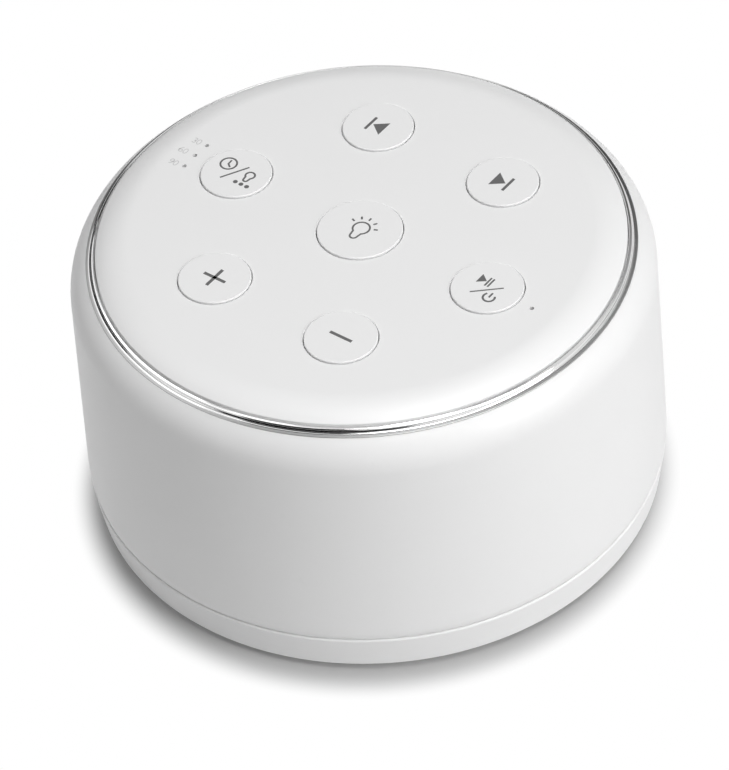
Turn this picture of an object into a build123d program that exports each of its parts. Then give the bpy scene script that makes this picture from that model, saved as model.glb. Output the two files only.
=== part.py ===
from build123d import *
import os
from math import atan2, cos, degrees, pi, radians, sin

# White noise sound machine: a round table-top housing with a glowing side wall, seven push buttons
# in its top, and a loudspeaker that fires down through a grille in its base.
# Millimetres. Z is up, the table is z = 0, and the vertical centre line is x = y = 0.
# The front is -Y, the power socket is at the back (+Y).
# Heights are measured from the table and radii from the centre line.

# ---- Driving dimensions ---------------------------------------------------------------------

# Outer form
BODY_HEIGHT = 54.5  # flat of the control panel above the table
BODY_RADIUS = 50.0  # side wall at its widest
FOOT_STANDOFF = 1.0  # thickness of the feet under the base
SEAM_HEIGHT = 8.0  # where the side wall stands on the base
SHELL_FLAT_COUNT = 24  # inner faces of the shells are made with this many flats
SLIDE_GAP = 0.05  # clearance of what is pushed or slides into a fitted hole

# Side wall: a milky shell that spreads the lamp's light
WALL_DRAFT = 0.8  # how much narrower the wall is at the shoulder than at its widest
WALL_THICKNESS = 1.8
WALL_TUCK = 0.6  # the wall's lower edge is drawn in by this
WALL_TUCK_HEIGHT = 2.1  # above it the wall is at its widest
SHOULDER_WIDTH = 3.0
SHOULDER_DEPTH = 6.0
SHOULDER_STEP_COUNT = 4  # bevels that make up the rounded shoulder
RIM_DROP = 3.2  # rim of the wall, on which the trim ring lies, below the panel's flat
RIM_SHELF_THICKNESS = 1.4

# Trim ring
RING_CLEARANCE = 0.05
RING_EDGE = 0.3  # height of the ring's outer edge
RING_WIDTH = 1.6  # part of the ring that shows
RING_RISE = 1.15  # top of the ring above the rim
RING_LIP_WIDTH = 1.35  # inner flange, clamped under the panel
RING_LIP_THICKNESS = 0.6

# Control panel
PANEL_GAP = 0.15  # shadow line between the panel and the ring
PANEL_THICKNESS = 2.6
PANEL_ROLL_WIDTH = 5.6  # rim rolls down over this width
PANEL_ROLL_DROP = 1.75
PANEL_ROLL_STEP_COUNT = 3  # bevels that make up the roll

# Towers: six-sided, hang from the panel, step in above the key board, end on the base's screw posts
TOWER_INSET = 5.5  # tower axes inside the tub's outer corners
TOWER_COUNT = 3
TOWER_RADIUS = 2.8  # below the step
TOWER_STEP = 1.0  # how much wider the tower is above the step
TOWER_CLEARANCE = 0.15  # in the holes of the key board and the deck

# Buttons
BUTTON_INSET = 18.3  # circle of the six buttons round the light button, inside the panel's edge
BUTTON_RADIUS = 6.1
LIGHT_BUTTON_RADIUS = 7.2
BUTTON_GAP = 0.15
BUTTON_PROUD = 0.3  # caps stand this far above the panel
BUTTON_CROWN = 1.2
BUTTON_SKIRT = 1.2  # least wall round the cap's six-sided hollow
BUTTON_POST = 2.8  # square post under the crown
LUG_COUNT = 3  # lugs that keep the cap in the panel and from turning
LUG_REACH = 0.8
LUG_WIDTH = 2.0
LUG_HEIGHT = 1.2
LUG_CLEARANCE = 0.1

# Tact switches on the key board
SWITCH_SIZE = 6.0
SWITCH_HEIGHT = 3.5
STEM_SIZE = 3.0
STEM_PROUD = 0.8  # stem above the switch's cover
STEM_DEPTH = 1.4  # stem below the switch's cover
STEM_WELL = 2.0  # depth of the switch's well, with room for the dome under the stem
POST_LENGTH = 3.6  # from a cap's crown down to the stem

# Indicators: three timer lights beside the timer button, one status light beside play
INDICATOR_OFFSET = 8.9  # outside the circle of the buttons
TIMER_LIGHT_SPACING = 3.1
PINHOLE_RADIUS = 0.4
PINHOLE_FLAT_COUNT = 8
PINHOLE_SKIN = 0.8  # panel thickness left over a light pipe
PIPE_SIZE = 1.4
INDICATOR_LENGTH = 1.6
INDICATOR_WIDTH = 0.8
INDICATOR_HEIGHT = 0.8
INDICATOR_GAP = 0.3  # between an indicator and its light pipe

# Key board and the deck that carries it
BOARD_THICKNESS = 1.2
KEY_BOARD_INSET = 1.2  # inside the tub's outer corners
STANDOFF_HEIGHT = 1.5
STANDOFF_WALL = 1.4
DECK_THICKNESS = 1.6
CHIP_CIRCLE = 19.0
CHIP_COUNT = 3
CHIP_LENGTH = 7.0
CHIP_WIDTH = 5.0
CHIP_HEIGHT = 1.2

# Inner chassis: a white tub, open below, with one flat for each LED of the lamp
TUB_WALL = 1.4
FLANGE_CLEARANCE = 0.5  # inside the side wall
FLANGE_THICKNESS = 1.6
LEAD_HOLE_RADIUS = 4.0
LEAD_HOLE_INSET = 12.5  # inside the tub's outer corners

# Lamp
LAMP_BOARD_WIDTH = 6.5
LAMP_BOARD_EDGE = 0.7  # flange left outside the board
LAMP_BOARD_CLEARANCE = 1.0  # between the board and the tub
LAMP_BOARD_THICKNESS = 1.0
LAMP_LED_COUNT = 12
LAMP_LED_LENGTH = 3.5
LAMP_LED_WIDTH = 2.8
LAMP_LED_HEIGHT = 1.9

# Base
BASE_FLOOR = 2.0
BASE_INSET = 0.05  # base's upper edge inside the wall's widest radius
BASE_TAPER = 1.05  # radius lost from the seam down to the underside
BASE_WALL = 2.0
BASE_LOWER_EDGE = 0.8  # bevel
BASE_SPIGOT_HEIGHT = 1.2  # rises inside the side wall and carries the chassis
BASE_SPIGOT_CLEARANCE = 0.1
RIB_COUNT = 8
RIB_THICKNESS = 1.2
RIB_HEIGHT = 1.6

# Case screws, driven up through posts of the base into the towers
CASE_SCREW_RADIUS = 1.15  # plain shank of six flats
CASE_SCREW_HEAD_FLAT_COUNT = 12
CASE_SCREW_LENGTH = 7.0
CASE_SCREW_HEAD_RADIUS = 2.2
CASE_SCREW_HEAD_HEIGHT = 1.5
CASE_SCREW_SINK = 2.4  # counterbore under the base
CASE_SINK_CLEARANCE = 0.3  # round the screw's head
CASE_SCREW_TIP_ROOM = 0.5  # bore beyond a screw's tip
CASE_POST_RADIUS = 4.0
CASE_POST_HEIGHT = 2.0  # above the base floor

# Rubber feet
FOOT_INSET = 10.9  # foot centres inside the base's lower edge
FOOT_COUNT = 3
FOOT_RADIUS = 4.5
FOOT_FLAT_COUNT = 24

# Sound grille: two rings of radial slots
GRILLE_SLOT_WIDTH = 1.5
INNER_SLOT_COUNT = 12
INNER_SLOT_START = 5.0
INNER_SLOT_END = 11.0
OUTER_SLOT_COUNT = 24
OUTER_SLOT_START = 13.0
OUTER_SLOT_END = 20.5

# Loudspeaker, 51 mm, cone facing down. Its front plane is the face of its mounting flange.
SPEAKER_FLAT_COUNT = 12  # its round parts are made with this many flats
SPEAKER_RADIUS = 25.5
SPEAKER_CLOTH_THICKNESS = 0.3
GASKET_THICKNESS = 3.0
GASKET_WIDTH = 3.2
SURROUND_THICKNESS = 0.4
SURROUND_ROLL_RADIUS = 1.4
SURROUND_ROLL_STEP_COUNT = 4
SPEAKER_FLANGE_WIDTH = 3.9
CONE_DEPTH = 6.5
CONE_THICKNESS = 0.4
DUST_CAP_RADIUS = 8.5
DUST_CAP_FLAT_RADIUS = 5.0
DUST_CAP_RISE = 1.8
COIL_RADIUS = 6.4  # inside of the coil's former
FORMER_THICKNESS = 0.25
WINDING_THICKNESS = 0.3
WINDING_LENGTH = 3.6
GLUE_GAP = 0.05  # glue line between parts of the moving system and what holds them
BASKET_THICKNESS = 0.9
BASKET_DEPTH = 10.5
BASKET_FLOOR_RADIUS = 15.0
BASKET_OPENING_RADIUS = 11.5
BASKET_WINDOW_COUNT = 4
SPIDER_RADIUS = 13.0
SPIDER_THICKNESS = 0.4
SPIDER_WAVE = 0.6
SPIDER_FOLD_COUNT = 5
MAGNET_RADIUS = 16.0
MAGNET_BORE = 9.0
MAGNET_THICKNESS = 4.5
PLATE_RADIUS = 14.5
PLATE_THICKNESS = 2.0
MOTOR_GAP = 0.35  # between the coil and the iron on either side
HOOK_COUNT = 3  # snap hooks of the base that hold the speaker's flange
HOOK_WIDTH = 5.0
HOOK_THICKNESS = 1.4
HOOK_REACH = 1.2
HOOK_CLEARANCE = 0.2

# Battery, taped under the deck, its length from front to back
CELL_LENGTH = 50.0
CELL_WIDTH = 34.0
CELL_THICKNESS = 7.0
CELL_CORNER = 1.5

# Power board with its USB-C socket
PORT_HEIGHT = 4.9  # socket's centre line above the table
PORT_WIDTH = 8.94
PORT_THICKNESS = 3.2
PORT_SHELL = 0.3
PORT_LENGTH = 7.3
PORT_RECESS = 0.6  # socket's mouth behind the base's outer face
PORT_CLEARANCE = 0.25
TONGUE_WIDTH = 6.7
TONGUE_THICKNESS = 0.7
TONGUE_LENGTH = 5.0
POWER_BOARD_WIDTH = 20.0
POWER_BOARD_LENGTH = 12.0
POWER_BOARD_THICKNESS = 1.0
POWER_BOARD_OVERHANG = 4.0  # socket's mouth beyond the board's edge
STAKE_SIZE = 1.6
STAKE_RISE = 0.6
STAKE_POST_SIZE = 3.4
STAKE_INSET = 2.5  # stakes in from the board's corners

# ---- Heights and radii that follow from them ------------------------------------------------

# Base, from the table up
base_underside = FOOT_STANDOFF
floor_top = base_underside + BASE_FLOOR
base_top_radius = BODY_RADIUS - BASE_INSET
base_foot_radius = base_top_radius - BASE_TAPER
wall_inner_radius = BODY_RADIUS - WALL_THICKNESS
wall_widest = SEAM_HEIGHT + WALL_TUCK_HEIGHT
spigot_radius = wall_inner_radius - BASE_SPIGOT_CLEARANCE
base_inner_radius = base_foot_radius - BASE_WALL
spigot_top = SEAM_HEIGHT + BASE_SPIGOT_HEIGHT
post_top = floor_top + CASE_POST_HEIGHT
case_seat = base_underside + CASE_SCREW_SINK

# Rim of the side wall, from the outside in
upper_wall_radius = BODY_RADIUS - WALL_DRAFT
rim_radius = upper_wall_radius - SHOULDER_WIDTH
shelf_top = BODY_HEIGHT - RIM_DROP
shelf_underside = shelf_top - RIM_SHELF_THICKNESS
shoulder_start = shelf_top - SHOULDER_DEPTH
ring_outer_radius = rim_radius - RING_CLEARANCE
ring_inner_radius = ring_outer_radius - RING_WIDTH
ring_lip_radius = ring_inner_radius - RING_LIP_WIDTH
ring_lip_top = shelf_top + RING_LIP_THICKNESS

# Control panel
panel_radius = ring_inner_radius - PANEL_GAP
panel_underside = BODY_HEIGHT - PANEL_THICKNESS

# Inner chassis and lamp, from the side wall inwards
flange_radius = wall_inner_radius - FLANGE_CLEARANCE
lamp_board_outer_radius = flange_radius - LAMP_BOARD_EDGE
lamp_board_inner_radius = lamp_board_outer_radius - LAMP_BOARD_WIDTH
tub_radius = lamp_board_inner_radius - LAMP_BOARD_CLEARANCE
flange_top = spigot_top + FLANGE_THICKNESS
lamp_board_top = flange_top + LAMP_BOARD_THICKNESS

# Buttons and what lies under them, from the top down
button_circle = panel_radius - BUTTON_INSET
button_top = BODY_HEIGHT + BUTTON_PROUD
crown_underside = button_top - BUTTON_CROWN
lug_top = panel_underside + LUG_HEIGHT
stem_top = crown_underside - POST_LENGTH
switch_top = stem_top - STEM_PROUD
board_top = switch_top - SWITCH_HEIGHT
board_underside = board_top - BOARD_THICKNESS
deck_top = board_underside - STANDOFF_HEIGHT
deck_underside = deck_top - DECK_THICKNESS

# Indicators
pipe_top = BODY_HEIGHT - PINHOLE_SKIN
pipe_bottom = board_top + INDICATOR_HEIGHT + INDICATOR_GAP
indicator_circle = button_circle + INDICATOR_OFFSET
timer_light_step = degrees(TIMER_LIGHT_SPACING / indicator_circle)

# Loudspeaker, from the base floor up
cloth_top = floor_top + SPEAKER_CLOTH_THICKNESS
gasket_top = cloth_top + GASKET_THICKNESS
speaker_front = gasket_top + SURROUND_THICKNESS
flange_back = speaker_front + BASKET_THICKNESS
basket_back = speaker_front + BASKET_DEPTH
basket_floor_front = basket_back - BASKET_THICKNESS
front_plate_back = basket_back + PLATE_THICKNESS
magnet_back = front_plate_back + MAGNET_THICKNESS
former_radius = COIL_RADIUS + FORMER_THICKNESS
winding_radius = former_radius + WINDING_THICKNESS
pole_radius = COIL_RADIUS - MOTOR_GAP
plate_bore = winding_radius + MOTOR_GAP
cone_neck_radius = former_radius + GLUE_GAP
cone_neck = speaker_front + CONE_DEPTH
basket_inner_radius = SPEAKER_RADIUS - SPEAKER_FLANGE_WIDTH
roll_middle = basket_inner_radius - SURROUND_ROLL_RADIUS
cone_radius = roll_middle - SURROUND_ROLL_RADIUS - GLUE_GAP

# Power board
board_seat = PORT_HEIGHT + PORT_THICKNESS / 2
power_board_top = board_seat + POWER_BOARD_THICKNESS
port_mouth = base_top_radius - BASE_TAPER / 2 - PORT_RECESS
port_inner_end = port_mouth - PORT_LENGTH
power_board_back = port_mouth - POWER_BOARD_OVERHANG
power_board_middle = power_board_back - POWER_BOARD_LENGTH / 2


# ---- Shaping helpers ------------------------------------------------------------------------

def turned(outline):
    """Solid turned about the centre line from a closed outline of (radius, height) lines."""
    return revolve(Plane.XZ * make_face(outline), Axis.Z)


def roll_off(length, fall, steps):
    """Distances (along, across) of points on an arc that starts straight along.

    The arc ends at the given length and fall, and the points stand at equal angles.
    """
    arc_radius = (length**2 + fall**2) / (2 * fall)
    arc_angle = 2 * atan2(fall, length)
    angles = [arc_angle * step / steps for step in range(steps + 1)]
    return [(arc_radius * sin(angle), arc_radius * (1 - cos(angle))) for angle in angles]


def faceted(*corners, flats):
    """Like a turned solid with straight runs between (radius, height) corners, but made of flats.

    The corners of the flats lie on the given radii. Each run becomes a band of plane faces.
    """
    bands = zip(corners, corners[1:] + corners[:1])
    faces = []
    for (lower_radius, lower_height), (upper_radius, upper_height) in bands:
        for i in range(flats):
            angles = (360 * i / flats, 360 * (i + 1) / flats)
            edge = [Vector(*polar(lower_radius, angle), lower_height) for angle in angles]
            far_edge = [Vector(*polar(upper_radius, angle), upper_height) for angle in reversed(angles)]
            if lower_radius == 0:
                edge = edge[:1]
            if upper_radius == 0:
                far_edge = far_edge[:1]
            if len(edge) + len(far_edge) > 2:
                faces.append(Face(Wire.make_polygon(edge + far_edge)))
    return Solid(Shell(faces))


def faceted_ring(inner_radius, outer_radius, bottom, top, flats=SHELL_FLAT_COUNT):
    """Flat ring, or a disc where the inner radius is 0, made of flats."""
    corners = (inner_radius, bottom), (outer_radius, bottom), (outer_radius, top), (inner_radius, top)
    return faceted(*corners, flats=flats)


def pillars(spots, outline, bottom, top):
    """Upright prisms of one outline at several spots, between two heights."""
    face = Sketch() + [Pos(x, y) * outline for x, y in spots]
    return Pos(0, 0, bottom) * extrude(face, top - bottom)


def block(length, width, bottom, top, x=0, y=0):
    """Upright block between two heights, centred on x and y."""
    return Pos(x, y, bottom) * extrude(Rectangle(length, width), top - bottom)


def hexagon(radius):
    """Six-sided outline; the radius is that of its corners."""
    return RegularPolygon(radius, 6)


def polar(radius, angle):
    """x and y of a point at a radius and an angle in degrees, from +X towards +Y."""
    return radius * cos(radians(angle)), radius * sin(radians(angle))


def ring_of(count, radius, first_angle=0):
    """x and y of evenly spaced points on a circle."""
    return [polar(radius, first_angle + 360 * i / count) for i in range(count)]


def around(count, shape, first_angle=0):
    """Copies of a shape, evenly spaced round the centre line."""
    return [Rot(0, 0, first_angle + 360 * i / count) * shape for i in range(count)]


def group(solids):
    """Separate like solids held in one node."""
    return Compound(children=list(solids))


# ---- Where things stand ---------------------------------------------------------------------

BUTTON_ANGLES = {"play": 0, "next": 60, "previous": 120, "timer": 180, "plus": 240, "minus": 300}
BUTTONS = {"light": (0, 0, LIGHT_BUTTON_RADIUS)}
for button_name, button_angle in BUTTON_ANGLES.items():
    BUTTONS[button_name] = (*polar(button_circle, button_angle), BUTTON_RADIUS)

status_light = polar(indicator_circle, BUTTON_ANGLES["play"])
timer_lights = [
    polar(indicator_circle, BUTTON_ANGLES["timer"] + place * timer_light_step) for place in (-1, 0, 1)
]
INDICATORS = [status_light, *timer_lights]
TOWERS = ring_of(TOWER_COUNT, tub_radius - TOWER_INSET, 30)
FEET = ring_of(FOOT_COUNT, base_foot_radius - FOOT_INSET, 90)
stake_offset_x = POWER_BOARD_WIDTH / 2 - STAKE_INSET
stake_y = power_board_back - POWER_BOARD_LENGTH + STAKE_INSET
STAKES = [(-stake_offset_x, stake_y), (stake_offset_x, stake_y)]


# ---- Outer shells ---------------------------------------------------------------------------

def diffuser_shell():
    """Moulded side wall: draughted drum, bevelled round shoulder, inward shelf for the ring."""
    shoulder = [
        (upper_wall_radius - inward, shoulder_start + up)
        for up, inward in roll_off(SHOULDER_DEPTH, SHOULDER_WIDTH, SHOULDER_STEP_COUNT)
    ]
    outside = Polyline(
        (0, SEAM_HEIGHT),
        (BODY_RADIUS - WALL_TUCK, SEAM_HEIGHT),
        (BODY_RADIUS, wall_widest),
        *shoulder,
        (0, shelf_top),
        close=True,
    )
    inside = faceted(
        (0, SEAM_HEIGHT),
        (wall_inner_radius, SEAM_HEIGHT),
        (wall_inner_radius, wall_widest),
        (upper_wall_radius - WALL_THICKNESS, shoulder_start),
        (rim_radius - WALL_THICKNESS / 2, shelf_underside),
        (0, shelf_underside),
        flats=SHELL_FLAT_COUNT,
    )
    return turned(outside) - inside - faceted_ring(0, ring_lip_radius, shelf_underside, shelf_top)


def trim_ring():
    """Plated ring: sloping band that shows, lip held down by the panel."""
    outline = Polyline(
        (0, shelf_top),
        (ring_outer_radius, shelf_top),
        (ring_outer_radius, shelf_top + RING_EDGE),
        (ring_inner_radius, shelf_top + RING_RISE),
        (ring_inner_radius, ring_lip_top),
        (0, ring_lip_top),
        close=True,
    )
    return turned(outline) - faceted_ring(0, ring_lip_radius, shelf_top, ring_lip_top)


def panel_disc():
    """Control panel without its holes: flat disc whose rim rolls down in a few narrow bevels."""
    roll = [
        (panel_radius - PANEL_ROLL_WIDTH + outward, BODY_HEIGHT - down)
        for outward, down in roll_off(PANEL_ROLL_WIDTH, PANEL_ROLL_DROP, PANEL_ROLL_STEP_COUNT)
    ]
    return turned(
        Polyline((0, BODY_HEIGHT), *roll, (panel_radius, panel_underside), (0, panel_underside), close=True)
    )


def top_panel():
    """Control panel: button holes with lug slots, wells for the light pipes, stepped towers."""
    panel = panel_disc()
    for x, y, cap_radius in BUTTONS.values():
        panel -= pillars([(x, y)], Circle(cap_radius + BUTTON_GAP), panel_underside, BODY_HEIGHT)
        slot_reach = LUG_REACH + LUG_CLEARANCE
        slot = block(
            2 * slot_reach, LUG_WIDTH + 2 * LUG_CLEARANCE, panel_underside, lug_top, cap_radius
        )
        panel -= [Pos(x, y) * copy for copy in around(LUG_COUNT, slot, 90)]
    well = Rectangle(PIPE_SIZE + 2 * SLIDE_GAP, PIPE_SIZE + 2 * SLIDE_GAP)
    panel -= pillars(INDICATORS, well, panel_underside, pipe_top)
    panel -= pillars(INDICATORS, RegularPolygon(PINHOLE_RADIUS, PINHOLE_FLAT_COUNT), pipe_top, BODY_HEIGHT)
    panel += pillars(TOWERS, hexagon(TOWER_RADIUS + TOWER_STEP), board_top, panel_underside)
    panel += pillars(TOWERS, hexagon(TOWER_RADIUS), post_top, board_top)
    bore_top = case_seat + CASE_SCREW_LENGTH + CASE_SCREW_TIP_ROOM
    return panel - pillars(TOWERS, hexagon(CASE_SCREW_RADIUS + SLIDE_GAP), post_top, bore_top)


def grille_slots():
    """Cutters of the sound grille: two rings of radial slots."""
    cutters = []
    for count, start, end in (
        (INNER_SLOT_COUNT, INNER_SLOT_START, INNER_SLOT_END),
        (OUTER_SLOT_COUNT, OUTER_SLOT_START, OUTER_SLOT_END),
    ):
        slot = block(end - start, GRILLE_SLOT_WIDTH, base_underside, floor_top, (start + end) / 2)
        cutters += around(count, slot)
    return cutters


def base_tray():
    """Floor, tapered band with a bevelled lower edge, and the spigot inside the side wall."""
    bevel_rise = base_underside + BASE_LOWER_EDGE
    band = turned(
        Polyline(
            (0, base_underside),
            (base_foot_radius - BASE_LOWER_EDGE, base_underside),
            (base_foot_radius, bevel_rise),
            (base_top_radius, SEAM_HEIGHT),
            (0, SEAM_HEIGHT),
            close=True,
        )
    )
    spigot = faceted_ring(0, spigot_radius, SEAM_HEIGHT, spigot_top)
    return band + spigot - faceted_ring(0, base_inner_radius, floor_top, spigot_top)


def speaker_hook():
    """Snap hook beside the speaker: upright tongue with a barb over the back of the flange."""
    inner_face = SPEAKER_RADIUS + HOOK_CLEARANCE
    barb_edge = inner_face - HOOK_REACH
    outline = Polyline(
        (inner_face, floor_top),
        (inner_face + HOOK_THICKNESS, floor_top),
        (inner_face + HOOK_THICKNESS, flange_back + HOOK_REACH),
        (inner_face, flange_back + HOOK_REACH),
        (barb_edge, flange_back),
        (inner_face, flange_back),
        close=True,
    )
    return extrude(Plane.XZ * make_face(outline), HOOK_WIDTH / 2, both=True)


def base_cover():
    """Bottom tray with the sound grille, speaker hooks, screw posts and socket slot."""
    base = base_tray()
    rib_start = SPEAKER_RADIUS + HOOK_CLEARANCE
    rib_length = base_inner_radius - HOOK_CLEARANCE - rib_start
    rib = block(rib_length, RIB_THICKNESS, floor_top, floor_top + RIB_HEIGHT, rib_start + rib_length / 2)
    base += around(RIB_COUNT, rib, 180 / RIB_COUNT)
    base += around(HOOK_COUNT, speaker_hook(), 90)
    base += pillars(TOWERS, hexagon(CASE_POST_RADIUS), floor_top, post_top)
    sink = Circle(CASE_SCREW_HEAD_RADIUS + CASE_SINK_CLEARANCE)
    base -= pillars(TOWERS, sink, base_underside, case_seat)
    base -= pillars(TOWERS, hexagon(CASE_SCREW_RADIUS + SLIDE_GAP), case_seat, post_top)
    base += pillars(STAKES, Rectangle(STAKE_POST_SIZE, STAKE_POST_SIZE), floor_top, board_seat)
    base += pillars(STAKES, Rectangle(STAKE_SIZE, STAKE_SIZE), board_seat, power_board_top + STAKE_RISE)
    base -= port_slug(PORT_CLEARANCE, port_inner_end, BODY_RADIUS)
    return base - grille_slots()


def rubber_feet():
    """Pads stuck to the underside of the base."""
    pad = RegularPolygon(FOOT_RADIUS, FOOT_FLAT_COUNT)
    return group(pillars([spot], pad, 0, base_underside) for spot in FEET)


# ---- Buttons and key board ------------------------------------------------------------------

def button_cap(cap_radius):
    """Cap with three lugs, a six-sided hollow and the post that meets the switch's stem."""
    cap = pillars([(0, 0)], Circle(cap_radius), panel_underside, button_top)
    cap -= pillars([(0, 0)], hexagon(cap_radius - BUTTON_SKIRT), panel_underside, crown_underside)
    lug = block(2 * LUG_REACH, LUG_WIDTH, panel_underside, lug_top, cap_radius)
    cap += around(LUG_COUNT, lug, 90)
    return cap + block(BUTTON_POST, BUTTON_POST, stem_top, crown_underside)


def switch_stem():
    """Square stem of a tact switch, more than half of it inside the switch."""
    return block(STEM_SIZE, STEM_SIZE, switch_top - STEM_DEPTH, stem_top)


def switch_bodies():
    """Seven square tact switches, each with the well that its stem moves in."""
    well_size = STEM_SIZE + 2 * SLIDE_GAP
    well = block(well_size, well_size, switch_top - STEM_WELL, switch_top)
    switch = block(SWITCH_SIZE, SWITCH_SIZE, board_top, switch_top) - well
    return group(Pos(x, y) * switch for x, y, _ in BUTTONS.values())


def key_board():
    """Circuit board on the deck, of the tub's outline, with holes that the towers pass through."""
    board_radius = tub_radius - KEY_BOARD_INSET
    board = faceted_ring(0, board_radius, board_underside, board_top, LAMP_LED_COUNT)
    return board - pillars(TOWERS, hexagon(TOWER_RADIUS + TOWER_CLEARANCE), board_underside, board_top)


def board_chips():
    """Sound processor, amplifier and memory on the key board, between the switches."""
    chip = block(CHIP_LENGTH, CHIP_WIDTH, board_top, board_top + CHIP_HEIGHT)
    return group(Pos(x, y) * chip for x, y in ring_of(CHIP_COUNT, CHIP_CIRCLE, 30))


def indicator_leds():
    """One light under each light pipe."""
    led = block(INDICATOR_LENGTH, INDICATOR_WIDTH, board_top, board_top + INDICATOR_HEIGHT)
    return group(Pos(x, y) * led for x, y in INDICATORS)


def light_pipes():
    """Clear square rods that carry the indicators' light up to the panel's pinholes."""
    return group(block(PIPE_SIZE, PIPE_SIZE, pipe_bottom, pipe_top, x, y) for x, y in INDICATORS)


# ---- Chassis, lamp and battery --------------------------------------------------------------

def inner_chassis():
    """White tub: deck with a standoff round each tower, faceted reflecting wall, flange."""
    tub_inner = tub_radius - TUB_WALL
    chassis = faceted(
        (0, deck_underside),
        (tub_inner, deck_underside),
        (tub_inner, spigot_top),
        (flange_radius, spigot_top),
        (flange_radius, flange_top),
        (tub_radius, flange_top),
        (tub_radius, deck_top),
        (0, deck_top),
        flats=LAMP_LED_COUNT,
    )
    hole = TOWER_RADIUS + TOWER_CLEARANCE
    chassis += pillars(TOWERS, hexagon(hole + STANDOFF_WALL), deck_top, board_underside)
    chassis -= pillars(TOWERS, hexagon(hole), deck_underside, board_underside)
    lead_holes = ring_of(2, tub_radius - LEAD_HOLE_INSET)
    return chassis - pillars(lead_holes, hexagon(LEAD_HOLE_RADIUS), deck_underside, deck_top)


def lamp_board():
    """Ring-shaped board that lies on the chassis flange and follows the tub's flats."""
    return faceted_ring(
        lamp_board_inner_radius, lamp_board_outer_radius, flange_top, lamp_board_top, LAMP_LED_COUNT
    )


def lamp_leds():
    """Colour LEDs of the night light, each before the middle of one flat of the tub."""
    half_step = 180 / LAMP_LED_COUNT
    circle = (lamp_board_inner_radius + lamp_board_outer_radius) / 2 * cos(radians(half_step))
    led = block(LAMP_LED_WIDTH, LAMP_LED_LENGTH, lamp_board_top, lamp_board_top + LAMP_LED_HEIGHT, circle)
    return group(around(LAMP_LED_COUNT, led, half_step))


def battery_cell():
    """Flat rechargeable cell taped to the underside of the deck, its upright edges bevelled."""
    face = Rectangle(CELL_WIDTH, CELL_LENGTH)
    face = chamfer(face.vertices(), CELL_CORNER)
    return Pos(0, 0, deck_underside - CELL_THICKNESS) * extrude(face, CELL_THICKNESS)


# ---- Loudspeaker ----------------------------------------------------------------------------

def speaker_basket():
    """Pressed steel frame: mounting flange, conical wall with windows, floor for the motor."""
    basket = faceted(
        (basket_inner_radius, speaker_front),
        (SPEAKER_RADIUS, speaker_front),
        (SPEAKER_RADIUS, flange_back),
        (basket_inner_radius + BASKET_THICKNESS, flange_back),
        (BASKET_FLOOR_RADIUS + BASKET_THICKNESS, basket_back),
        (BASKET_OPENING_RADIUS, basket_back),
        (BASKET_OPENING_RADIUS, basket_floor_front),
        (BASKET_FLOOR_RADIUS, basket_floor_front),
        flats=SPEAKER_FLAT_COUNT,
    )
    window_bottom = flange_back + BASKET_THICKNESS
    window_top = basket_floor_front - BASKET_THICKNESS
    window = block(SPEAKER_RADIUS, BASKET_FLOOR_RADIUS, window_bottom, window_top, SPEAKER_RADIUS)
    return basket - around(BASKET_WINDOW_COUNT, window)


def speaker_front_plate():
    """Steel washer that forms the outer side of the magnetic gap."""
    return faceted_ring(plate_bore, PLATE_RADIUS, basket_back, front_plate_back, SPEAKER_FLAT_COUNT)


def speaker_magnet():
    """Ferrite ring magnet."""
    return faceted_ring(MAGNET_BORE, MAGNET_RADIUS, front_plate_back, magnet_back, SPEAKER_FLAT_COUNT)


def speaker_yoke():
    """Steel back plate with the pole piece that reaches through the magnet into the coil."""
    return faceted(
        (0, basket_back),
        (pole_radius, basket_back),
        (pole_radius, magnet_back),
        (PLATE_RADIUS, magnet_back),
        (PLATE_RADIUS, magnet_back + PLATE_THICKNESS),
        (0, magnet_back + PLATE_THICKNESS),
        flats=SPEAKER_FLAT_COUNT,
    )


def speaker_cone():
    """Paper cone, widest at the front, glued round the coil's former."""
    return faceted(
        (cone_radius, speaker_front),
        (cone_radius, speaker_front + CONE_THICKNESS),
        (cone_neck_radius, cone_neck + CONE_THICKNESS),
        (cone_neck_radius, cone_neck),
        flats=SPEAKER_FLAT_COUNT,
    )


def speaker_dust_cap():
    """Cap that closes the cone's middle, bulging towards the grille."""
    cone_slope = CONE_DEPTH / (cone_radius - cone_neck_radius)
    rest = speaker_front + (cone_radius - DUST_CAP_RADIUS) * cone_slope
    front = rest - DUST_CAP_RISE
    inner_rest = rest + CONE_THICKNESS * cone_slope
    return faceted(
        (0, front),
        (DUST_CAP_FLAT_RADIUS, front),
        (DUST_CAP_RADIUS, rest),
        (DUST_CAP_RADIUS - CONE_THICKNESS, inner_rest),
        (DUST_CAP_FLAT_RADIUS, front + CONE_THICKNESS),
        (0, front + CONE_THICKNESS),
        flats=SPEAKER_FLAT_COUNT,
    )


def speaker_voice_coil():
    """Former with its copper winding, hanging in the magnetic gap."""
    winding_top = basket_back + (PLATE_THICKNESS + WINDING_LENGTH) / 2
    winding_bottom = winding_top - WINDING_LENGTH
    former_bottom = cone_neck - CONE_THICKNESS
    return faceted(
        (COIL_RADIUS, former_bottom),
        (former_radius, former_bottom),
        (former_radius, winding_bottom),
        (winding_radius, winding_bottom),
        (winding_radius, winding_top),
        (COIL_RADIUS, winding_top),
        flats=SPEAKER_FLAT_COUNT,
    )


def half_roll(radius):
    """Points of a half circle that bulges to the front, from its outer to its inner end."""
    angles = [pi * step / SURROUND_ROLL_STEP_COUNT for step in range(SURROUND_ROLL_STEP_COUNT + 1)]
    return [(roll_middle + radius * cos(angle), speaker_front - radius * sin(angle)) for angle in angles]


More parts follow.
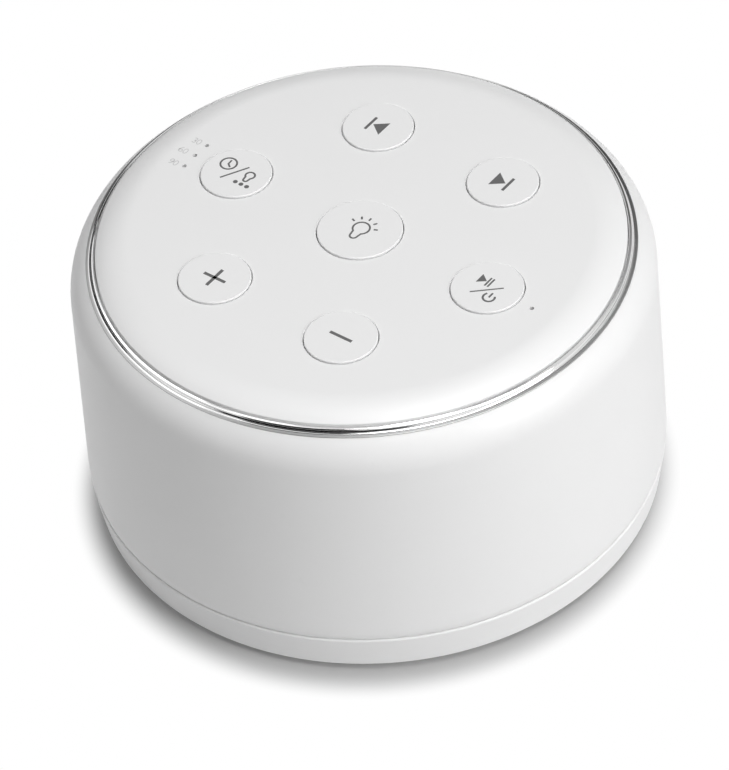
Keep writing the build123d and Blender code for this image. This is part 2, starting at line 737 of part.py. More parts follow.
def speaker_surround():
    """Rubber half roll between the cone's rim and the basket, its edge clamped by the gasket."""
    outer_roll = half_roll(SURROUND_ROLL_RADIUS)[1:]
    inner_roll = half_roll(SURROUND_ROLL_RADIUS - SURROUND_THICKNESS)
    return faceted(
        (SPEAKER_RADIUS, speaker_front),
        (SPEAKER_RADIUS, gasket_top),
        (basket_inner_radius, gasket_top),
        *outer_roll,
        *reversed(inner_roll),
        flats=SPEAKER_FLAT_COUNT,
    )


def speaker_spider():
    """Corrugated cloth disc that centres the coil and springs it back."""
    step = (SPIDER_RADIUS - cone_neck_radius) / SPIDER_FOLD_COUNT
    upper = []
    for fold in range(SPIDER_FOLD_COUNT + 1):
        radius = SPIDER_RADIUS - step * fold
        upper.append((radius, basket_floor_front - SPIDER_WAVE * (fold % 2)))
    lower = [(radius, height - SPIDER_THICKNESS) for radius, height in upper]
    return faceted(*upper, *reversed(lower), flats=SPEAKER_FLAT_COUNT)


def speaker_gasket():
    """Foam ring between the dust cloth and the speaker's surround."""
    inner_radius = SPEAKER_RADIUS - GASKET_WIDTH
    return faceted_ring(inner_radius, SPEAKER_RADIUS, cloth_top, gasket_top, SPEAKER_FLAT_COUNT)


def speaker_cloth():
    """Acoustic cloth over the grille."""
    return faceted_ring(0, SPEAKER_RADIUS, floor_top, cloth_top, SPEAKER_FLAT_COUNT)


# ---- Power input ----------------------------------------------------------------------------

def port_slug(margin, front, back):
    """Solid of the socket's outline, larger by a margin, between two y positions."""
    face = SlotOverall(PORT_WIDTH + 2 * margin, PORT_THICKNESS + 2 * margin)
    return extrude(Plane((0, front, PORT_HEIGHT), x_dir=(1, 0, 0), z_dir=(0, 1, 0)) * face, back - front)


def usb_shell():
    """Drawn steel shell of the USB-C socket, closed at its inner end."""
    return port_slug(0, port_inner_end, port_mouth) - port_slug(
        -PORT_SHELL, port_inner_end + PORT_SHELL, port_mouth
    )


def usb_tongue():
    """Contact tongue that stands in the middle of the socket."""
    start = port_inner_end + PORT_SHELL
    bottom = PORT_HEIGHT - TONGUE_THICKNESS / 2
    return block(TONGUE_WIDTH, TONGUE_LENGTH, bottom, bottom + TONGUE_THICKNESS, 0, start + TONGUE_LENGTH / 2)


def power_board():
    """Charging board that the socket hangs from, staked to two posts of the base."""
    board = block(POWER_BOARD_WIDTH, POWER_BOARD_LENGTH, board_seat, power_board_top, 0, power_board_middle)
    hole = STAKE_SIZE + 2 * SLIDE_GAP
    return board - pillars(STAKES, Rectangle(hole, hole), board_seat, power_board_top)


# ---- Screws ---------------------------------------------------------------------------------

def case_screws():
    """Pan head screws that point up from the base's sinks into the towers, threads left plain."""
    head_bottom = case_seat - CASE_SCREW_HEAD_HEIGHT
    tip = case_seat + CASE_SCREW_LENGTH
    head = RegularPolygon(CASE_SCREW_HEAD_RADIUS, CASE_SCREW_HEAD_FLAT_COUNT)
    screw = pillars([(0, 0)], head, head_bottom, case_seat)
    screw += pillars([(0, 0)], hexagon(CASE_SCREW_RADIUS), case_seat, tip)
    return group(Pos(x, y) * screw for x, y in TOWERS)


# ---- Nodes ----------------------------------------------------------------------------------

nodes = {
    "diffuser_shell": diffuser_shell(),
    "trim_ring": trim_ring(),
    "top_panel": top_panel(),
    "base_cover": base_cover(),
    "rubber_feet": rubber_feet(),
    "key_board": key_board(),
    "board_chips": board_chips(),
    "switch_bodies": switch_bodies(),
    "indicator_leds": indicator_leds(),
    "light_pipes": light_pipes(),
    "inner_chassis": inner_chassis(),
    "lamp_board": lamp_board(),
    "lamp_leds": lamp_leds(),
    "battery_cell": battery_cell(),
    "speaker_basket": speaker_basket(),
    "speaker_front_plate": speaker_front_plate(),
    "speaker_magnet": speaker_magnet(),
    "speaker_yoke": speaker_yoke(),
    "speaker_cone": speaker_cone(),
    "speaker_dust_cap": speaker_dust_cap(),
    "speaker_voice_coil": speaker_voice_coil(),
    "speaker_surround": speaker_surround(),
    "speaker_spider": speaker_spider(),
    "speaker_gasket": speaker_gasket(),
    "speaker_cloth": speaker_cloth(),
    "usb_shell": usb_shell(),
    "usb_tongue": usb_tongue(),
    "power_board": power_board(),
    "case_screws": case_screws(),
}
for button_name, (x, y, cap_radius) in BUTTONS.items():
    nodes[f"button_{button_name}"] = Pos(x, y) * button_cap(cap_radius)
    nodes[f"stem_{button_name}"] = Pos(x, y) * switch_stem()

os.makedirs("parts", exist_ok=True)
for node_name, shape in nodes.items():
    export_step(shape, f"parts/{node_name}.step")
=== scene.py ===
from math import atan2, cos, degrees, pi, radians, sin, tan

import bmesh
import bpy
import numpy as np
from mathutils import Matrix


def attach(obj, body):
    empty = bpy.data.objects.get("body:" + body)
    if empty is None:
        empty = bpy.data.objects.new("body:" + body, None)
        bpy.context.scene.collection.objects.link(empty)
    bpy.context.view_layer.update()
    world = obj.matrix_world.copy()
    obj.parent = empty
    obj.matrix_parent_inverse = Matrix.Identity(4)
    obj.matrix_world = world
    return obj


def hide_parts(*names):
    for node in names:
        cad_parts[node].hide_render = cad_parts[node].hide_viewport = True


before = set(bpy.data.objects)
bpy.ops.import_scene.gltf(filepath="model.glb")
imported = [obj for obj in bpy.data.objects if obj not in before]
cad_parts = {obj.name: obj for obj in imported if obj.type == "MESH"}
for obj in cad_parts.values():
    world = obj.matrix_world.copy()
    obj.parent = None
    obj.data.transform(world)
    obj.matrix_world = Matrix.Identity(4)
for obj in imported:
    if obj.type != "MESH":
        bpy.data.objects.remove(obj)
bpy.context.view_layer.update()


# ---- Base cover -------------------------------------------------------------------------------
# White ABS tray that carries everything. One moulding with the sound grille in its floor, three
# sunk screw holes and the slot of the power socket, and a spigot that centres the side wall.

def surface(name, *grids):
    """Mesh object from grids of points in millimetres; every four neighbours make a face.

    A grid that goes all the way round ends on the line it began with. Points that coincide there,
    at a pole or where two grids meet, are merged.
    """
    points = []
    faces = []
    for grid in grids:
        rows, columns, _ = grid.shape
        corner = len(points) + np.arange(rows * columns).reshape(rows, columns)
        quads = np.stack([corner[:-1, :-1], corner[1:, :-1], corner[1:, 1:], corner[:-1, 1:]], -1)
        faces += quads.reshape(-1, 4).tolist()
        points += (grid.reshape(-1, 3) * 0.001).tolist()
    mesh = bpy.data.meshes.new(name)
    mesh.from_pydata(points, [], faces)
    merged = bmesh.new()
    merged.from_mesh(mesh)
    bmesh.ops.remove_doubles(merged, verts=merged.verts, dist=1e-7)
    merged.to_mesh(mesh)
    merged.free()
    mesh.shade_smooth()
    piece = bpy.data.objects.new(name, mesh)
    bpy.context.scene.collection.objects.link(piece)
    return piece


def rounded(corners, steps=8):
    """Closed outline (radius, height) through corners (radius, height, rounding), in millimetres.

    Each rounding is an arc that touches both runs of its corner. A point just outside each end of
    the arc keeps the shading of the flat runs flat.
    """
    at = np.array([corner[:2] for corner in corners], float)
    outline = []
    for here, before, after, rounding in zip(at, np.roll(at, 1, 0), np.roll(at, -1, 0), corners):
        if rounding[2] == 0:
            outline.append(here)
            continue
        back = (before - here) / np.linalg.norm(before - here)
        on = (after - here) / np.linalg.norm(after - here)
        half = np.arccos(back @ on) / 2
        reach = rounding[2] / tan(half)
        middle = here + (back + on) / np.linalg.norm(back + on) * rounding[2] / sin(half)
        start = here + back * reach - middle
        end = here + on * reach - middle
        turn = pi - 2 * half
        share = np.linspace(0, 1, steps + 1)[:, None]
        arc = middle + (np.sin((1 - share) * turn) * start + np.sin(share * turn) * end) / sin(turn)
        outline += [here + back * (reach + 0.02), *arc, here + on * (reach + 0.02)]
    return np.array(outline + outline[:1])


def turned(outline, x=0, y=0, steps=192):
    """Grid of an outline (radius, height) turned about an upright axis at x, y.

    Point (i, j) lies at angle 360 i / steps, on radius j and height j of the outline.
    """
    angle = np.linspace(0, 2 * pi, steps + 1)
    radius, height = np.asarray(outline, float).T
    wide = x + np.outer(np.cos(angle), radius)
    deep = y + np.outer(np.sin(angle), radius)
    return np.stack([wide, deep, np.broadcast_to(height, wide.shape)], -1)


def prism(edge, bottom, top):
    """Grid of an upright prism: out along the bottom to the edge (x, y), up, and in along the top."""
    edge = np.concatenate([edge, edge[:1]])
    middle = np.broadcast_to(edge[:-1].mean(0), edge.shape)
    columns = [(middle, bottom), (edge, bottom), (edge, top), (middle, top)]
    return np.stack([np.column_stack([at, np.full(len(at), z)]) for at, z in columns], 1)


def moved(points, x=0, y=0, turn=0):
    """Points (x, y) or (x, y, z) turned about the origin by an angle in degrees, then moved."""
    c = cos(radians(turn))
    s = sin(radians(turn))
    points = np.asarray(points, float)
    out = points.copy()
    out[..., 0] = x + c * points[..., 0] - s * points[..., 1]
    out[..., 1] = y + s * points[..., 0] + c * points[..., 1]
    return out


def stadium(length, width, steps=10):
    """Outline (x, y) of a slot with half-round ends, lengthways along x."""
    right = np.linspace(-pi / 2, pi / 2, steps + 1)
    end = np.column_stack([(length - width) / 2 + np.cos(right) * width / 2, np.sin(right) * width / 2])
    return np.concatenate([end, -end])


def polygon(radius, sides):
    """Outline (x, y) of a regular polygon with a corner on the x axis."""
    angle = np.arange(sides) * 2 * pi / sides
    return radius * np.column_stack([np.cos(angle), np.sin(angle)])


def apply_modifiers(piece):
    """Puts the result of a piece's modifiers into its mesh."""
    finished = piece.evaluated_get(bpy.context.evaluated_depsgraph_get())
    mesh = bpy.data.meshes.new_from_object(finished)
    piece.modifiers.clear()
    piece.data = mesh


def cut(piece, *grids):
    """Cuts the closed solids of some grids out of a piece."""
    cutter = surface("cutter", *grids)
    tool = piece.modifiers.new("cut", "BOOLEAN")
    tool.operation = "DIFFERENCE"
    tool.solver = "EXACT"
    tool.object = cutter
    apply_modifiers(piece)
    bpy.data.objects.remove(cutter)


def soften(piece, width):
    """Breaks the sharp edges of a piece with a small round bevel, width in millimetres.

    Normals are weighted by face area, so that flat faces stay flat up to the bevel.
    """
    bevel = piece.modifiers.new("soften", "BEVEL")
    bevel.width = width * 0.001
    bevel.segments = 2
    bevel.limit_method = "ANGLE"
    bevel.angle_limit = radians(40)
    flat = piece.modifiers.new("flat", "WEIGHTED_NORMAL")
    flat.weight = 100
    flat.keep_sharp = True


def add(tree, kind, values, **settings):
    """Adds a shader node; each value is another node's output, which is linked, or a constant."""
    made = tree.nodes.new("ShaderNode" + kind)
    for setting, value in settings.items():
        setattr(made, setting, value)
    for socket, value in values.items():
        if isinstance(value, bpy.types.NodeSocket):
            tree.links.new(value, made.inputs[socket])
        else:
            made.inputs[socket].default_value = value
    return made


def link(shader, **outputs):
    """Links node outputs to a shader's sockets; Base_Color stands for Base Color, and so on."""
    for socket, output in outputs.items():
        shader.id_data.links.new(output, shader.inputs[socket.replace("_", " ")])


def grey(level, warmth=0.0):
    """Linear colour of a display level from 0 to 1; warmth takes that share from the blue."""
    linear = ((level + 0.055) / 1.055) ** 2.4 if level > 0.04045 else level / 12.92
    return (linear, linear * (1 - warmth / 3), linear * (1 - warmth), 1)


def mould_texture():
    """Node group of a moulded surface: fine spark-eroded grain, slow cloudiness, and scuffs.

    Grain is 3-D noise turned into a normal. Clouds is slow noise from 0 to 1. Scuffs is stretched
    noise cut off above a high level, so that it makes a few short marks.
    """
    group = bpy.data.node_groups.new("mould_texture", "ShaderNodeTree")
    for label, start in (("Grain size", 0.3), ("Grain depth", 0.004), ("Cloud size", 15.0)):
        socket = group.interface.new_socket(label, in_out="INPUT", socket_type="NodeSocketFloat")
        socket.default_value = start
    group.interface.new_socket("Normal", in_out="OUTPUT", socket_type="NodeSocketVector")
    group.interface.new_socket("Clouds", in_out="OUTPUT", socket_type="NodeSocketFloat")
    group.interface.new_socket("Scuffs", in_out="OUTPUT", socket_type="NodeSocketFloat")
    given = group.nodes.new("NodeGroupInput").outputs
    result = group.nodes.new("NodeGroupOutput").inputs
    place = group.nodes.new("ShaderNodeTexCoord").outputs["Object"]

    def per_metre(size):
        return add(group, "Math", {0: 1000.0, 1: size}, operation="DIVIDE").outputs[0]

    grain_scale = per_metre(given["Grain size"])
    grain = add(group, "TexNoise", {"Vector": place, "Scale": grain_scale, "Detail": 3.0})
    depth = add(group, "Math", {0: given["Grain depth"], 1: 0.001}, operation="MULTIPLY")
    bump = add(group, "Bump", {"Height": grain.outputs["Fac"], "Distance": depth.outputs[0]})
    cloud_scale = per_metre(given["Cloud size"])
    clouds = add(group, "TexNoise", {"Vector": place, "Scale": cloud_scale, "Detail": 2.0})
    slant = {"Vector": place, "Rotation": (0.4, 0.3, 0.7), "Scale": (1.0, 9.0, 3.0)}
    stretch = add(group, "Mapping", slant)
    marks = add(group, "TexNoise", {"Vector": stretch.outputs[0], "Scale": 160.0, "Detail": 4.0})
    scuffs = add(group, "MapRange", {"Value": marks.outputs["Fac"], "From Min": 0.68, "From Max": 0.74})
    group.links.new(bump.outputs[0], result["Normal"])
    group.links.new(clouds.outputs["Fac"], result["Clouds"])
    group.links.new(scuffs.outputs[0], result["Scuffs"])
    return group


MOULD_TEXTURE = mould_texture()


def new_material(name, **constants):
    """Material with one Principled shader; each constant is set on the shader's own socket."""
    material = bpy.data.materials.new(name)
    material.use_nodes = True
    shader = material.node_tree.nodes["Principled BSDF"]
    for socket, value in constants.items():
        shader.inputs[socket.replace("_", " ")].default_value = value
    return material, material.node_tree, shader


def moulded_plastic(name, light, dark, smooth, rough, grain_size, grain_depth, **constants):
    """Moulded plastic: colour drifts between two near tones, roughness between two values.

    Scuffs are a little rougher and darker than the rest.
    """
    material, tree, shader = new_material(name, **constants)
    sizes = {"Grain size": grain_size, "Grain depth": grain_depth, "Cloud size": 18.0}
    texture = add(tree, "Group", {}, node_tree=MOULD_TEXTURE)
    for socket, value in sizes.items():
        texture.inputs[socket].default_value = value
    clouds = texture.outputs["Clouds"]
    scuffs = texture.outputs["Scuffs"]
    tone = add(tree, "Mix", {0: clouds, 6: light, 7: dark}, data_type="RGBA")
    scuffed = add(tree, "Mix", {0: scuffs, 6: tone.outputs[2], 7: dark}, data_type="RGBA")
    gloss = add(tree, "MapRange", {"Value": clouds, "To Min": smooth, "To Max": rough})
    worn = add(tree, "Math", {0: scuffs, 1: 0.08, 2: gloss.outputs[0]}, operation="MULTIPLY_ADD")
    link(
        shader, Base_Color=scuffed.outputs[2], Roughness=worn.outputs[0],
        Normal=texture.outputs["Normal"],
    )
    return material


def dress(piece, material):
    """Gives the whole of a piece, or of a CAD node named, one material."""
    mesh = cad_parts[piece].data if isinstance(piece, str) else piece.data
    mesh.materials.clear()
    mesh.materials.append(material)


BODY_RADIUS = 50.0
FOOT_THICKNESS = 1.0
BASE_FLOOR_TOP = 3.0
SEAM_HEIGHT = 8.0
SPIGOT_RADIUS = 48.1
SPIGOT_TOP = 9.2
BASE_INSIDE = 46.9
TRAY_STEPS = 192
SLOT_WIDTH = 1.5
SLOT_RINGS = ((12, 5.0, 11.0), (24, 13.0, 20.5))  # number of slots, inner and outer end
SINK_RADIUS = 2.5
SCREW_SEAT = 3.4
BORE_RADIUS = 1.25
PORT_SIZE = (9.44, 3.7)
PORT_HEIGHT = 4.9
TOWER_SPOTS = moved(polygon(34.0, 3), turn=30)

tray = rounded([
    (0, FOOT_THICKNESS, 0), (48.9, FOOT_THICKNESS, 1.0), (BODY_RADIUS - 0.05, SEAM_HEIGHT, 0.35),
    (SPIGOT_RADIUS, SEAM_HEIGHT, 0), (SPIGOT_RADIUS, SPIGOT_TOP, 0.15), (BASE_INSIDE, SPIGOT_TOP, 0.15),
    (BASE_INSIDE, BASE_FLOOR_TOP, 0.4), (0, BASE_FLOOR_TOP, 0),
])
half_step = 180 / TRAY_STEPS  # keeps the tray's own edges off the middles of the slots
base = surface("base_tray", moved(turned(tray, steps=TRAY_STEPS), turn=half_step))
slots = []
for count, start, end in SLOT_RINGS:
    slot = moved(prism(stadium(end - start, SLOT_WIDTH), 0.5, 3.5), x=(start + end) / 2)
    slots += [moved(slot, turn=360 / count * i) for i in range(count)]
sinks = [moved(prism(polygon(SINK_RADIUS, 42), 0.5, SCREW_SEAT), x, y) for x, y in TOWER_SPOTS]
bores = [moved(prism(polygon(BORE_RADIUS, 30), 0.6, 3.6), x, y) for x, y in TOWER_SPOTS]
upright_port = prism(stadium(*PORT_SIZE, 16), -52.0, -45.0)
port = upright_port[..., (0, 2, 1)] * (1, -1, 1) + (0, 0, PORT_HEIGHT)  # laid through the back wall
cut(base, *slots)
cut(base, *sinks)
cut(base, *bores)
cut(base, port)
soften(base, 0.15)
dress(base, moulded_plastic("cover_plastic", grey(0.955), grey(0.94), 0.40, 0.46, 0.25, 0.004))
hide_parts("base_cover")
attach(base, "housing")


# ---- Rubber feet ------------------------------------------------------------------------------
# Three grey silicone pads, die-cut with a softly rounded edge. Each is stuck to the underside of
# the base with adhesive, midway between two case screws.

FOOT_RADIUS = 4.5
FOOT_SPOTS = moved(polygon(38.0, 3), turn=90)

pad = rounded([
    (0, 0, 0), (FOOT_RADIUS, 0, 0.35), (FOOT_RADIUS, FOOT_THICKNESS, 0.1), (0, FOOT_THICKNESS, 0),
], 5)
feet = surface("feet", *[turned(pad, x, y, 64) for x, y in FOOT_SPOTS])
dress(feet, moulded_plastic("foot_silicone", grey(0.66), grey(0.58), 0.72, 0.85, 0.2, 0.012))
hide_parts("rubber_feet")
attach(feet, "housing")


# ---- Loudspeaker ------------------------------------------------------------------------------
# Two-inch driver that faces the grille: zinc-plated steel frame and motor, ferrite ring, paper
# cone on a rubber surround, woven spider, copper coil; foam gasket and black cloth in front.

def plated_steel(name, light, dark, spangle, smooth, rough):
    """Plated steel: faint spangles in tone and roughness, with fine drawing marks as a normal."""
    material, tree, shader = new_material(name, Metallic=1.0)
    place = add(tree, "TexCoord", {}).outputs["Object"]
    crystals = add(tree, "TexVoronoi", {"Vector": place, "Scale": 1000.0 / spangle})
    level = add(tree, "SeparateXYZ", {"Vector": crystals.outputs["Color"]}).outputs["X"]
    tone = add(tree, "Mix", {0: level, 6: light, 7: dark}, data_type="RGBA")
    gloss = add(tree, "MapRange", {"Value": level, "To Min": smooth, "To Max": rough})
    stretch = add(tree, "Mapping", {"Vector": place, "Scale": (1.0, 1.0, 12.0)})
    marks = add(tree, "TexNoise", {"Vector": stretch.outputs[0], "Scale": 2500.0, "Detail": 2.0})
    bump = add(tree, "Bump", {"Height": marks.outputs["Fac"], "Distance": 0.000004})
    link(shader, Base_Color=tone.outputs[2], Roughness=gloss.outputs[0], Normal=bump.outputs[0])
    return material


def weave():
    """Node group of a plain weave: threads along x and y that pass over and under each other.

    Thread height is the size of a sine across each thread; a thread is on top where the product of
    the two sines is above 0 for one set, and below 0 for the other.
    """
    group = bpy.data.node_groups.new("weave", "ShaderNodeTree")
    group.interface.new_socket("Pitch", in_out="INPUT", socket_type="NodeSocketFloat").default_value = 0.3
    group.interface.new_socket("Height", in_out="OUTPUT", socket_type="NodeSocketFloat")
    group.interface.new_socket("Normal", in_out="OUTPUT", socket_type="NodeSocketVector")
    pitch = group.nodes.new("NodeGroupInput").outputs["Pitch"]
    result = group.nodes.new("NodeGroupOutput").inputs
    place = add(group, "TexCoord", {}).outputs["Object"]
    axes = add(group, "SeparateXYZ", {"Vector": place}).outputs
    turns = add(group, "Math", {0: 1000.0 * pi, 1: pitch}, operation="DIVIDE").outputs[0]
    waves = []
    for axis in "XY":
        phase = add(group, "Math", {0: axes[axis], 1: turns}, operation="MULTIPLY").outputs[0]
        waves.append(add(group, "Math", {0: phase}, operation="SINE").outputs[0])
    both = add(group, "Math", {0: waves[0], 1: waves[1]}, operation="MULTIPLY").outputs[0]
    over = add(group, "Math", {0: both, 1: 0.0}, operation="GREATER_THAN").outputs[0]
    tall = [add(group, "Math", {0: wave}, operation="ABSOLUTE").outputs[0] for wave in waves]
    height = add(group, "Mix", {0: over, 2: tall[0], 3: tall[1]}, data_type="FLOAT").outputs[0]
    depth = add(group, "Math", {0: pitch, 1: 0.0002}, operation="MULTIPLY").outputs[0]
    bump = add(group, "Bump", {"Height": height, "Distance": depth})
    group.links.new(height, result["Height"])
    group.links.new(bump.outputs[0], result["Normal"])
    return group


WEAVE = weave()


def woven_cloth(name, light, dark, pitch, **constants):
    """Plain-woven cloth: threads light on top and dark in the holes, which is painted shade."""
    material, tree, shader = new_material(name, **constants)
    threads = add(tree, "Group", {}, node_tree=WEAVE)
    threads.inputs["Pitch"].default_value = pitch
    # Painted shade: the tone darkens down each thread's sides and between the threads.
    tone = add(tree, "Mix", {0: threads.outputs["Height"], 6: dark, 7: light}, data_type="RGBA")
    link(shader, Base_Color=tone.outputs[2], Normal=threads.outputs["Normal"])
    return material


def pulp_paper(name, light, dark):
    """Pressed paper pulp: short fibres that lie every way, as stretched noise in tone and height."""
    material, tree, shader = new_material(name, Roughness=0.85)
    place = add(tree, "TexCoord", {}).outputs["Object"]
    slant = {"Vector": place, "Rotation": (0.5, 0.9, 0.2), "Scale": (1.0, 7.0, 2.0)}
    stretch = add(tree, "Mapping", slant)
    curl = {"Vector": stretch.outputs[0], "Scale": 900.0, "Detail": 5.0, "Distortion": 1.5}
    fibres = add(tree, "TexNoise", curl)
    tone = add(tree, "Mix", {0: fibres.outputs["Fac"], 6: dark, 7: light}, data_type="RGBA")
    bump = add(tree, "Bump", {"Height": fibres.outputs["Fac"], "Distance": 0.00005})
    link(shader, Base_Color=tone.outputs[2], Normal=bump.outputs[0])
    return material


WIRE_PITCH = 0.12


def wound_copper():
    """Enamelled copper wire: its turns show as a sine of the height, darker in the grooves between them as
    painted shade.
    """
    material, tree, shader = new_material("wound_copper", Metallic=1.0, Roughness=0.3)
    place = add(tree, "TexCoord", {}).outputs["Object"]
    height = add(tree, "SeparateXYZ", {"Vector": place}).outputs["Z"]
    phase = add(tree, "Math", {0: height, 1: 2000.0 * pi / WIRE_PITCH}, operation="MULTIPLY").outputs[0]
    turn = add(tree, "Math", {0: phase}, operation="SINE").outputs[0]
    crest = (0.75, 0.33, 0.16, 1)
    # Painted shade: the colour between the turns is darker.
    shaded_groove = (0.42, 0.15, 0.06, 1)
    tone = add(tree, "Mix", {0: turn, 6: shaded_groove, 7: crest}, data_type="RGBA")
    bump = add(tree, "Bump", {"Height": turn, "Distance": 0.00004})
    link(shader, Base_Color=tone.outputs[2], Normal=bump.outputs[0])
    return material


zinc_plate = plated_steel("zinc_plate", grey(0.78), grey(0.70), 1.6, 0.25, 0.4)
for node_name in ("speaker_basket", "speaker_front_plate", "speaker_yoke"):
    dress(node_name, zinc_plate)
cone_paper = pulp_paper("cone_paper", grey(0.24), grey(0.12))
dress("speaker_cone", cone_paper)
dress("speaker_dust_cap", cone_paper)
ferrite = moulded_plastic("sintered_ferrite", grey(0.27), grey(0.2), 0.55, 0.75, 0.4, 0.03)
dress("speaker_magnet", ferrite)
rubber = moulded_plastic("surround_rubber", grey(0.13), grey(0.09), 0.5, 0.65, 0.25, 0.01)
dress("speaker_surround", rubber)
foam = moulded_plastic("gasket_foam_cells", grey(0.3), grey(0.16), 0.9, 1.0, 0.5, 0.25)
dress("speaker_gasket", foam)
dress("speaker_voice_coil", wound_copper())
amber = (0.55, 0.36, 0.14, 1)
brown = (0.25, 0.14, 0.05, 1)
dress("speaker_spider", woven_cloth("spider_weave", amber, brown, 0.45, Roughness=0.7))
grille_cloth = woven_cloth(
    "grille_weave", grey(0.2), grey(0.06), 0.3, Roughness=0.9, Sheen_Weight=0.3,
)
dress("speaker_cloth", grille_cloth)


# ---- Power board ------------------------------------------------------------------------------
# Charging board staked to two posts of the base, with a charging socket in a drawn steel shell;
# the tongue in the socket carries gold contacts half a millimetre apart.

def circuit_board(name, mask, track, tin):
    """Printed circuit board: tracks show as lighter lines under the lacquer, with tinned pads.

    Tracks are the joints of a brick pattern; pads are the middles of a cell pattern's few cells.
    """
    material, tree, shader = new_material(name, Coat_Weight=0.4, Coat_Roughness=0.15)
    place = add(tree, "TexCoord", {}).outputs["Object"]
    lines = add(tree, "TexBrick", {
        "Vector": place, "Scale": 260.0, "Mortar Size": 0.035, "Mortar Smooth": 0.1,
        "Color1": mask, "Color2": mask, "Mortar": track, "Brick Width": 1.3, "Row Height": 0.32,
    })
    cells = add(tree, "TexVoronoi", {"Vector": place, "Scale": 320.0}).outputs["Distance"]
    pads = add(tree, "Math", {0: cells, 1: 0.16}, operation="LESS_THAN").outputs[0]
    tone = add(tree, "Mix", {0: pads, 6: lines.outputs["Color"], 7: tin}, data_type="RGBA")
    gloss = add(tree, "MapRange", {"Value": pads, "To Min": 0.35, "To Max": 0.25})
    bump = add(tree, "Bump", {"Height": lines.outputs["Fac"], "Distance": 0.00003})
    link(
        shader, Base_Color=tone.outputs[2], Roughness=gloss.outputs[0],
        Metallic=pads, Normal=bump.outputs[0],
    )
    return material


CONTACT_PITCH = 0.5


def contact_tongue():
    """Black plastic tongue with gold contacts, which stand where a cosine across it is high."""
    material, tree, shader = new_material("contact_tongue", Roughness=0.35)
    place = add(tree, "TexCoord", {}).outputs["Object"]
    across = add(tree, "SeparateXYZ", {"Vector": place}).outputs["X"]
    phase = add(tree, "Math", {0: across, 1: 2000.0 * pi / CONTACT_PITCH}, operation="MULTIPLY").outputs[0]
    row = add(tree, "Math", {0: phase}, operation="COSINE").outputs[0]
    gold = add(tree, "Math", {0: row, 1: 0.3}, operation="GREATER_THAN").outputs[0]
    gilt = (0.83, 0.58, 0.24, 1)
    tone = add(tree, "Mix", {0: gold, 6: grey(0.1), 7: gilt}, data_type="RGBA")
    link(shader, Base_Color=tone.outputs[2], Metallic=gold)
    return material


green_board = circuit_board("green_board", (0.01, 0.11, 0.04, 1), (0.03, 0.22, 0.08, 1), grey(0.75))
dress("power_board", green_board)
dress("usb_shell", plated_steel("nickel_plate", grey(0.82), grey(0.76), 0.6, 0.18, 0.3))
dress("usb_tongue", contact_tongue())


# ---- Chassis, lamp and battery ----------------------------------------------------------------
# Glossy white polystyrene tub that throws the lamp's light outwards, a ring-shaped board with
# twelve white LEDs on its flange, and a foil pouch cell taped under its deck.

reflector = moulded_plastic("reflector_plastic", grey(0.97), grey(0.95), 0.2, 0.28, 0.3, 0.001)
dress("inner_chassis", reflector)
dress("lamp_board", green_board)
lamp_lens = moulded_plastic(
    "lamp_lens", (0.9, 0.82, 0.45, 1), (0.85, 0.74, 0.3, 1), 0.2, 0.3, 0.15, 0.003, Coat_Weight=0.6
)
dress("lamp_leds", lamp_lens)


def foil_pouch():
    """Aluminium laminate: soft folds as slow noise, fine pressed grain on top of them."""
    material, tree, shader = new_material("foil_pouch", Metallic=0.85)
    place = add(tree, "TexCoord", {}).outputs["Object"]
    folds = add(tree, "TexNoise", {"Vector": place, "Scale": 90.0, "Detail": 1.0, "Distortion": 1.0})
    grain = add(tree, "TexNoise", {"Vector": place, "Scale": 3000.0, "Detail": 2.0})
    relief = {0: grain.outputs["Fac"], 1: 0.05, 2: folds.outputs["Fac"]}
    height = add(tree, "Math", relief, operation="MULTIPLY_ADD")
    bump = add(tree, "Bump", {"Height": height.outputs[0], "Distance": 0.0004})
    tone = add(tree, "Mix", {0: folds.outputs["Fac"], 6: grey(0.78), 7: grey(0.68)}, data_type="RGBA")
    gloss = add(tree, "MapRange", {"Value": folds.outputs["Fac"], "To Min": 0.28, "To Max": 0.42})
    link(shader, Base_Color=tone.outputs[2], Roughness=gloss.outputs[0], Normal=bump.outputs[0])
    return material


dress("battery_cell", foil_pouch())


# ---- Key board --------------------------------------------------------------------------------
# Green circuit board on the deck: seven black tact switches with square stems, three chips, and
# the indicators' LEDs under the light pipes.

KEY_NAMES = ("light", "play", "next", "previous", "timer", "plus", "minus")

dress("key_board", green_board)
dress("board_chips", moulded_plastic("chip_epoxy", grey(0.17), grey(0.12), 0.5, 0.62, 0.12, 0.006))
dress("indicator_leds", lamp_lens)
switch_nylon = moulded_plastic("switch_nylon", grey(0.12), grey(0.08), 0.38, 0.5, 0.2, 0.003)
dress("switch_bodies", switch_nylon)
for name in KEY_NAMES:
    dress("stem_" + name, switch_nylon)


# ---- Side wall --------------------------------------------------------------------------------
# Milky polycarbonate drum that spreads the lamp's light. One moulding with a slight draught, a
# rounded shoulder, and a lower edge drawn in over the base to make the seam.

RIM_HEIGHT = 51.3
RIM_INSIDE = 43.2
RIM_UNDERSIDE = 49.9
WALL_INSIDE = 48.2
WALL_DRAUGHT = 0.8
WALL_TUCK = 0.6
TUCK_HEIGHT = 2.1
SHOULDER_WIDTH = 3.0
SHOULDER_DEPTH = 6.0
ROUND_STEPS = 256


def bend(length, drop, steps):
    """Points (along, aside) of an arc that sets out straight and has moved aside by a drop."""
    radius = (length**2 + drop**2) / (2 * drop)
    angle = np.linspace(0, 2 * atan2(drop, length), steps)
    return np.column_stack([radius * np.sin(angle), radius * (1 - np.cos(angle))])


def crease(piece, angle=35):
    """Shades edges that turn by more than an angle in degrees as sharp."""
    piece.data.set_sharp_from_angle(angle=radians(angle))


